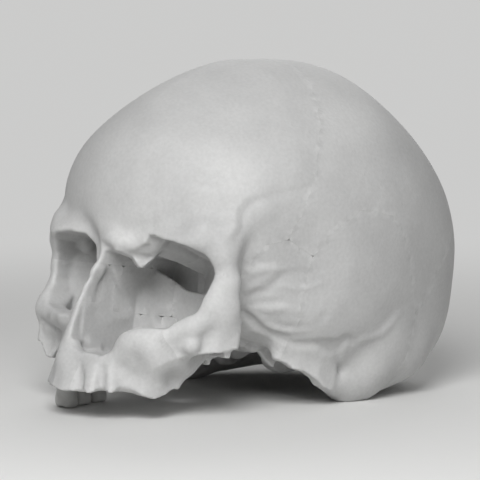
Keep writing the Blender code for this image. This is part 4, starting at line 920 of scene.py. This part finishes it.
def settle(values):
    # fills cells that bone touches only at two opposite corners, so that the skin stays closed
    for _ in range(skin["rounds"]):
        changed = 0
        for first, second in ((0, 1), (0, 2), (1, 2)):
            near, far = [slice(None)] * 3, [slice(None)] * 3
            near[first] = near[second] = slice(None, -1)
            far[first] = far[second] = slice(1, None)
            left, right = list(near), list(near)
            left[first], right[second] = slice(1, None), slice(1, None)
            views = [values[tuple(pick)] for pick in (near, far, left, right)]
            solid = [pick < 0 for pick in views]
            bad = (solid[0] == solid[1]) & (solid[2] == solid[3]) & (solid[0] != solid[2])
            for pick in views:
                pick[bad] = np.minimum(pick[bad], -skin["fill"] * air["cell"])
            changed += int(bad.sum())
        if not changed:
            break
    return values


def skinOf(values):
    # one point in each cell that the zero level crosses, and a quad round each crossed grid edge
    solid = values < 0
    shape = np.array(values.shape) - 1
    total, count = np.zeros((*shape, 3)), np.zeros(shape)
    for axis in range(3):
        others = [i for i in range(3) if i != axis]
        low, high = [slice(None)] * 3, [slice(None)] * 3
        low[axis], high[axis] = slice(None, -1), slice(1, None)
        start, end = values[tuple(low)], values[tuple(high)]
        crossed = (start < 0) != (end < 0)
        share = np.where(crossed, start / np.where(crossed, start - end, 1), 0)
        for step in np.ndindex(2, 2):
            cut = [slice(None)] * 3
            for other, move in zip(others, step):
                cut[other] = slice(move, move + shape[other])
            hit = crossed[tuple(cut)]
            count += hit
            total[..., axis] += hit * share[tuple(cut)]
            for other, move in zip(others, step):
                total[..., other] += hit * move
    used = count > 0
    index = np.full(shape, -1)
    index[used] = np.arange(used.sum())
    points = np.argwhere(used) + total[used] / count[used][:, None]
    quads = []
    for axis in range(3):
        first, second = (axis + 1) % 3, (axis + 2) % 3
        low, high = [slice(1, -1)] * 3, [slice(1, -1)] * 3
        low[axis], high[axis] = slice(None, -1), slice(1, None)
        start, end = solid[tuple(low)], solid[tuple(high)]
        for mask, order in ((start & ~end, [0, 1, 2, 3]), (end & ~start, [3, 2, 1, 0])):
            place = np.argwhere(mask)
            place[:, [first, second]] += 1
            ring = []
            for moveFirst, moveSecond in ((1, 1), (0, 1), (0, 0), (1, 0)):
                cell = place.copy()
                cell[:, first] -= moveFirst
                cell[:, second] -= moveSecond
                ring.append(index[cell[:, 0], cell[:, 1], cell[:, 2]])
            quads.append(np.stack(ring, 1)[:, order])
    return points, np.concatenate(quads)


def withoutCrumbs(points, quads):
    # joins the labels of points that share an edge until nothing changes, and leaves out the smallest bodies
    label = np.arange(len(points))
    ends = np.concatenate([quads[:, [i, (i + 1) % 4]] for i in range(4)])
    while True:
        least = np.minimum(label[ends[:, 0]], label[ends[:, 1]])
        new = label.copy()
        np.minimum.at(new, ends[:, 0], least)
        np.minimum.at(new, ends[:, 1], least)
        new = np.minimum(new, new[label])
        new = new[new]
        if (new == label).all():
            break
        label = new
    keep = np.bincount(label)[label] > skin["crumb"]
    renumber = np.cumsum(keep) - 1
    return points[keep], renumber[quads[keep[quads[:, 0]]]]


def pullOnto(points, rock, saw):
    # moves each point by -value * slope / slope^2 onto the bone's surface or the saw's cut, whichever is nearer, or
    # onto the line that they share where it is near both
    for _ in range(skin["pulls"]):
        rise, cut = sample(rock, points), sample(saw, points)
        riseSlope, cutSlope = slopeOf(rock, points), slopeOf(saw, points)
        a, b = (riseSlope ** 2).sum(1) + skin["tiny"], (cutSlope ** 2).sum(1) + skin["tiny"]
        c = (riseSlope * cutSlope).sum(1)
        onRock, onSaw = -(rise / a)[:, None] * riseSlope, -(cut / b)[:, None] * cutSlope
        whole = np.maximum(a * b - c * c, skin["crossing"] * a * b)
        u, v = (c * cut - b * rise) / whole, (c * rise - a * cut) / whole
        onBoth = u[:, None] * riseSlope + v[:, None] * cutSlope
        farRock, farSaw = np.abs(rise) / np.sqrt(a), np.abs(cut) / np.sqrt(b)
        near = ((farRock < skin["near"]) & (farSaw < skin["near"]))[:, None]
        step = np.where(near, onBoth, np.where((farRock < farSaw)[:, None], onRock, onSaw))
        length = np.linalg.norm(step, axis=1)[:, None]
        points = points + step * np.minimum(1, skin["longest"] / np.maximum(length, 1e-9))
    return points


def unit(rows):
    # each row of three numbers brought to a length of 1
    return rows / (np.linalg.norm(rows, axis=1)[:, None] + skin["tiny"])


def meshObject(name, points, faces):
    # a smooth-shaded mesh of points and faces, in an object at the origin
    mesh = bpy.data.meshes.new(name)
    mesh.from_pydata(points.tolist(), [], faces)
    mesh.shade_smooth()
    return addObject(name, mesh)


def makeBone(name, region):
    # the skin of one bone: the greater of the skull's field and its own saw cuts; its faces along the bone's surface
    # take the field's slope as their shading, and its cut faces stay flat
    cell = air["cell"]
    saw = np.broadcast_to(region, skull["value"].shape)
    mass = (skull["value"] < 0) & (saw < 0)
    spans = []
    for axis in range(3):
        hit = np.nonzero(mass.any(axis=tuple(i for i in range(3) if i != axis)))[0]
        spans.append(slice(max(hit[0] - skin["margin"], 0), min(hit[-1] + 1 + skin["margin"], mass.shape[axis])))
    rock = skull["value"][tuple(spans)].astype(np.float64)
    saw = saw[tuple(spans)].astype(np.float64) + suture["gap"] / 2
    points, quads = withoutCrumbs(*skinOf(settle(np.maximum(rock, saw))))
    points = pullOnto(points, rock / cell, saw / cell)
    world = toWorld(np.array([axis[cut][0] for axis, cut in zip(skull["axes"], spans)]) + points * cell)
    world[:, 2] = np.maximum(world[:, 2], 0)
    made = meshObject(name, world, quads.tolist())
    corners = points[quads]
    middle = corners.mean(1)
    flat = unit(np.cross(corners[:, 2] - corners[:, 0], corners[:, 3] - corners[:, 1]))
    facing = (flat * unit(slopeOf(rock, middle))).sum(1)
    along = (facing > skin["facing"]) & (np.abs(sample(rock, middle)) < skin["depth"] * cell)
    shade = np.where(along[:, None, None], unit(slopeOf(rock, points))[quads], flat[:, None, :])
    made.data.normals_split_custom_set(tipped(shade.reshape(-1, 3), head["tiltDegrees"]).tolist())
    return made


bodyOf = {node: body for body, nodes in frame["record"]["behaviour"]["bodies"].items() for node in nodes}


def standFor(piece, node):
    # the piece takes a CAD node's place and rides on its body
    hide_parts(node)
    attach(piece, bodyOf[node])
    return piece


bones = []
for node, region in boneRegions(skull["axes"]).items():
    bones.append(standFor(makeBone("fine_" + node, region()), node))
    print(node, len(bones[-1].data.vertices), "points")
print("bones done")


# Teeth: width shares at heights from the biting edge to the root tip, corners squarer at the crown than at the root
tooth = {
    "heights": (0.0, 0.03, 0.10, 0.20, 0.32, 0.42, 0.52, 0.70, 0.86, 0.96, 1.0),
    "widths": (0.83, 0.91, 0.975, 1.0, 0.95, 0.88, 0.84, 0.74, 0.58, 0.36, 0.0),
    "rings": 34, "ringPower": 1.3, "topHeight": 0.999, "faceRings": 14, "faceFrom": 0.04, "faceTo": 0.98,
    "around": 56, "crownSquare": 3.4, "rootSquare": 2.2, "waist": 0.04,
    "cuspPlace": 0.45, "cuspDepth": 0.0011, "cuspSpread": 0.45, "cuspFade": 0.12, "grooveLength": 0.6,
    "cusps": {"premolar_right": 2, "first_molar_right": 4, "second_molar_right": 4},
}


def closedRings(name, rings):
    # closed skin of rings one after the other, the first and the last ending in a pole at their middle
    count, around = rings.shape[:2]
    points = np.concatenate((rings.reshape(-1, 3), rings[0].mean(0)[None], rings[-1].mean(0)[None]))
    first = np.arange(around)
    then = (first + 1) % around
    rows = np.arange(count - 1)[:, None] * around
    quads = np.stack((rows + first, rows + then, rows + around + then, rows + around + first), -1).reshape(-1, 4)
    low, high = np.full(around, len(points) - 2), np.full(around, len(points) - 1)
    top = (count - 1) * around
    caps = np.concatenate((np.stack((low, then, first), 1), np.stack((high, top + first, top + then), 1)))
    return meshObject(name, points, quads.tolist() + caps.tolist())


def makeTooth(node):
    # rings from the middle of the biting face outwards, then up the crown and root; each is the superellipse
    # |u|^n + |v|^n = width^n, drawn in at its waist, with the biting face hollowed between its cusps
    low, high = (np.array(corner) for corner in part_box(node))
    middle, half = (low + high) / 2, (high - low) / 2
    heights = np.linspace(0, 1, tooth["rings"]) ** tooth["ringPower"] * tooth["topHeight"]
    share = np.concatenate((np.zeros(tooth["faceRings"]), heights))
    width = np.interp(share, tooth["heights"], tooth["widths"])
    width[:tooth["faceRings"]] *= np.linspace(tooth["faceFrom"], tooth["faceTo"], tooth["faceRings"])
    square = np.interp(share, (0, 1), (tooth["crownSquare"], tooth["rootSquare"]))[:, None]
    angle = np.linspace(0, 2 * np.pi, tooth["around"], endpoint=False)[None, :]
    c, s = np.cos(angle), np.sin(angle)
    reach = (np.abs(c) ** square + np.abs(s) ** square) ** (-1 / square) * width[:, None]
    reach = reach * (1 - tooth["waist"] * (1 - np.abs(np.cos(2 * angle))) * np.sin(np.pi * share)[:, None])
    u, v = reach * c, reach * s
    lengthwise = (np.abs(v) - tooth["cuspPlace"]) if tooth["cusps"][node] == 4 else tooth["grooveLength"] * v
    valley = np.clip(((np.abs(u) - tooth["cuspPlace"]) ** 2 + lengthwise ** 2) / tooth["cuspSpread"], 0, 1)
    fade = np.clip(1 - share / tooth["cuspFade"], 0, 1)[:, None] ** 2
    z = low[2] + share[:, None] * (high[2] - low[2]) + tooth["cuspDepth"] * valley * fade
    return closedRings("fine_" + node, np.stack((middle[0] + u * half[0], middle[1] + v * half[1], z), -1))


def makePin(node):
    # dowel: a profile of radius and place along it, turned about its own line; its ends are bevelled and dimpled
    middle, axis = pinPlace(node)
    r, end, dimple, bevel = pin["radius"], pin["length"] / 2, pin["dimple"], pin["chamfer"]
    profile = [(r * wide, end - dimple * deep) for wide, deep in pin["dimpleRows"]]
    profile += [(r - bevel * inward, end - bevel * back) for inward, back in pin["bevelRows"]] + [(r, end / 2)]
    profile = np.array([(wide, -place) for wide, place in profile] + [(r, 0)] + profile[::-1])
    angle = np.linspace(0, 2 * np.pi, pin["around"], endpoint=False)
    wide, along = profile[:, :1], profile[:, 1:] * np.ones_like(angle)
    rod = [along, wide * np.cos(angle), wide * np.sin(angle)]
    rod = np.stack(rod if axis == 0 else [rod[2], rod[0], rod[1]], -1)
    places = toWorld((rod + middle).reshape(-1, 3)).reshape(rod.shape)
    made = closedRings("fine_" + node, places)
    made.data.set_sharp_from_angle(angle=math.radians(pin["sharpDegrees"]))
    return made


teeth = [standFor(makeTooth(node), node) for node in tooth["cusps"]]
pins = [standFor(makePin(node), node) for node in pinNodes]
print("teeth and pins done", len(teeth), len(pins))


# Finishes: marks are the values of the broad pattern between which dark turns to pale; edge and roughness give a low
# and a high value, and the range that they are read from; bumps are strengths
# Grey casting: broad clouds, fine speckle, hollows darkened as painted shade and edges paled as painted highlight,
# over a grain of shallow pits
castingLook = {
    "dark": (0.47, 0.47, 0.468), "pale": (0.60, 0.60, 0.595), "marks": (0.30, 0.72), "specular": 0.35,
    "cloudScale": 22, "cloudDetail": 5, "cloudRoughness": 0.55, "speckleScale": 700, "speckle": (0.90, 1.10),
    # edge: curvature tint that paints shade into the hollows and a highlight onto convex edges
    "edge": (0.86, 1.08, 0.44, 0.56), "plainRoughness": 0.6, "roughness": (0.50, 0.72),
    "waveScale": 95, "waveDepth": 0.0005, "waveBump": 0.35,
    "pitScale": 420, "pitDepth": 0.00018, "pitBump": 0.25, "pitEdge": (0, 1, 0.05, 0.30),
    "grainScale": 1500, "grainDepth": 0.00012, "grainBump": 0.35,
}


def tinted(tree, colour, grey):
    # a colour multiplied by a grey value
    mix = addNode(tree, "ShaderNodeMix", data_type="RGBA", blend_type="MULTIPLY", in0=1.0, in6=colour, in7=grey)
    return mix.outputs[2]


def spread(tree, value, low, high, fromLow=0.0, fromHigh=1.0):
    # a value of one range carried onto another, held at its ends
    return addNode(tree, "ShaderNodeMapRange", Value=value, in1=fromLow, in2=fromHigh, in3=low, in4=high).outputs[0]


def pattern(tree, place, kind, output=0, **values):
    # a texture read at the piece's own coordinates
    return addNode(tree, "ShaderNodeTex" + kind, Vector=place, **values).outputs[output]


def twoTone(tree, value, look):
    # dark below the first mark of a value, pale above the second, and evenly between them
    ramp = addNode(tree, "ShaderNodeValToRGB", in0=value)
    for stop, mark, tone in zip(ramp.color_ramp.elements, look["marks"], ("dark", "pale")):
        stop.position = mark
        stop.color = (*look[tone], 1)
    return ramp.outputs[0]


def joinUp(tree, shader, colour, roughness, *heights):
    # colour and roughness go to the shader, and bumps laid one over the other: height value, depth and strength
    bump = {}
    for height, depth, strength in heights:
        bump = {"Normal": addNode(tree, "ShaderNodeBump", Strength=strength, Distance=depth, Height=height,
                                  **bump).outputs[0]}
    for name, value in {"Base Color": colour, "Roughness": roughness, **bump}.items():
        tree.links.new(value, shader.inputs[name])


def startFinish(name, look, **values):
    # a material with its shader, the piece's own coordinates and how sharp its edges are
    made, tree, shader = paint(name, Roughness=look["plainRoughness"], **values)
    place = addNode(tree, "ShaderNodeTexCoord").outputs["Object"]
    return made, tree, shader, place, addNode(tree, "ShaderNodeNewGeometry").outputs["Pointiness"]


def greyCasting():
    # clouds between dark and pale, times speckle, times the edge tint of painted shade in hollows and painted
    # highlight on edges; the clouds set the roughness too, and waves, pits and grain are its bumps
    look = castingLook
    made, tree, shader, place, edge = startFinish("greyCasting", look, Specular_IOR_Level=look["specular"])
    cloud = pattern(tree, place, "Noise", Scale=look["cloudScale"], Detail=look["cloudDetail"],
                    Roughness=look["cloudRoughness"])
    speckle = pattern(tree, place, "Noise", Scale=look["speckleScale"], Detail=3)
    colour = tinted(tree, twoTone(tree, cloud, look), spread(tree, speckle, *look["speckle"]))
    wave = pattern(tree, place, "Noise", Scale=look["waveScale"], Detail=3)
    pit = spread(tree, pattern(tree, place, "Voronoi", Scale=look["pitScale"]), *look["pitEdge"])
    grain = pattern(tree, place, "Noise", Scale=look["grainScale"], Detail=2)
    # the edge tint is painted shade in the hollows and painted highlight on the edges
    joinUp(tree, shader, tinted(tree, colour, spread(tree, edge, *look["edge"])),
           spread(tree, cloud, *look["roughness"]), (wave, look["waveDepth"], look["waveBump"]),
           (pit, look["pitDepth"], look["pitBump"]), (grain, look["grainDepth"], look["grainBump"]))
    return made


# Teeth are a little smoother and paler than the bone, with growth lines round the crown and painted shade darkening
# the fissures
toothLook = {
    "dark": (0.50, 0.50, 0.49), "pale": (0.61, 0.61, 0.595), "marks": (0.32, 0.70), "specular": 0.4,
    # edge: curvature tint that paints shade into the fissures and a slight highlight onto the ridges
    "cloudScale": 140, "edge": (0.72, 1.05, 0.42, 0.56), "plainRoughness": 0.5, "roughness": (0.36, 0.55),
    "lineScale": 900, "lineWarp": 3.0, "lineDepth": 0.00010, "lineBump": 0.25,
    "grainScale": 2200, "grainDepth": 0.00006, "grainBump": 0.3,
}


def toothCasting():
    # clouds between dark and pale, times the edge tint of painted shade in the fissures and a slight painted
    # highlight on the ridges; growth lines and grain are its bumps
    look = toothLook
    made, tree, shader, place, edge = startFinish("toothCasting", look, Specular_IOR_Level=look["specular"])
    cloud = pattern(tree, place, "Noise", Scale=look["cloudScale"], Detail=4)
    lines = pattern(tree, place, "Wave", 1, bands_direction="Z", Scale=look["lineScale"],
                    Distortion=look["lineWarp"], Detail=2)
    grain = pattern(tree, place, "Noise", Scale=look["grainScale"], Detail=2)
    # the edge tint is painted shade in the fissures and a slight painted highlight on the ridges
    joinUp(tree, shader, tinted(tree, twoTone(tree, cloud, look), spread(tree, edge, *look["edge"])),
           spread(tree, cloud, *look["roughness"]), (lines, look["lineDepth"], look["lineBump"]),
           (grain, look["grainDepth"], look["grainBump"]))
    return made


# Ground steel: rings of fine grinding marks across the dowel's length, duller smears, edges painted brighter as a
# painted highlight and hollows a little darker as painted shade
steelLook = {
    "dark": (0.40, 0.41, 0.43), "pale": (0.62, 0.63, 0.65), "marks": (0.35, 0.65),
    # edge: curvature tint that paints a highlight onto convex edges and shade into the hollows
    "edge": (0.9, 1.15, 0.48, 0.56), "plainRoughness": 0.3, "roughness": (0.22, 0.48, 0.3, 0.7),
    "stretch": (1.0, 1.0, 0.06), "markScale": 3800, "markDepth": 0.00004, "markBump": 0.3, "smearScale": 260,
}


def groundSteel():
    # grinding marks between dark and pale, times the edge tint of painted highlight on edges and painted shade in
    # hollows; smears set the roughness, and the marks are its bump
    look = steelLook
    made, tree, shader, place, edge = startFinish("groundSteel", look, Metallic=1.0)
    stretched = addNode(tree, "ShaderNodeMapping", Vector=place, Scale=look["stretch"]).outputs[0]
    mark = pattern(tree, stretched, "Noise", Scale=look["markScale"], Detail=3)
    smear = pattern(tree, place, "Noise", Scale=look["smearScale"], Detail=4)
    # the edge tint is painted highlight on the edges and painted shade in the hollows
    joinUp(tree, shader, tinted(tree, twoTone(tree, mark, look), spread(tree, edge, *look["edge"])),
           spread(tree, smear, *look["roughness"]), (mark, look["markDepth"], look["markBump"]))
    return made


for group, finish in ((bones, greyCasting()), (teeth, toothCasting()), (pins, groundSteel())):
    for piece in group:
        piece.data.materials.append(finish)
print("finishes done")
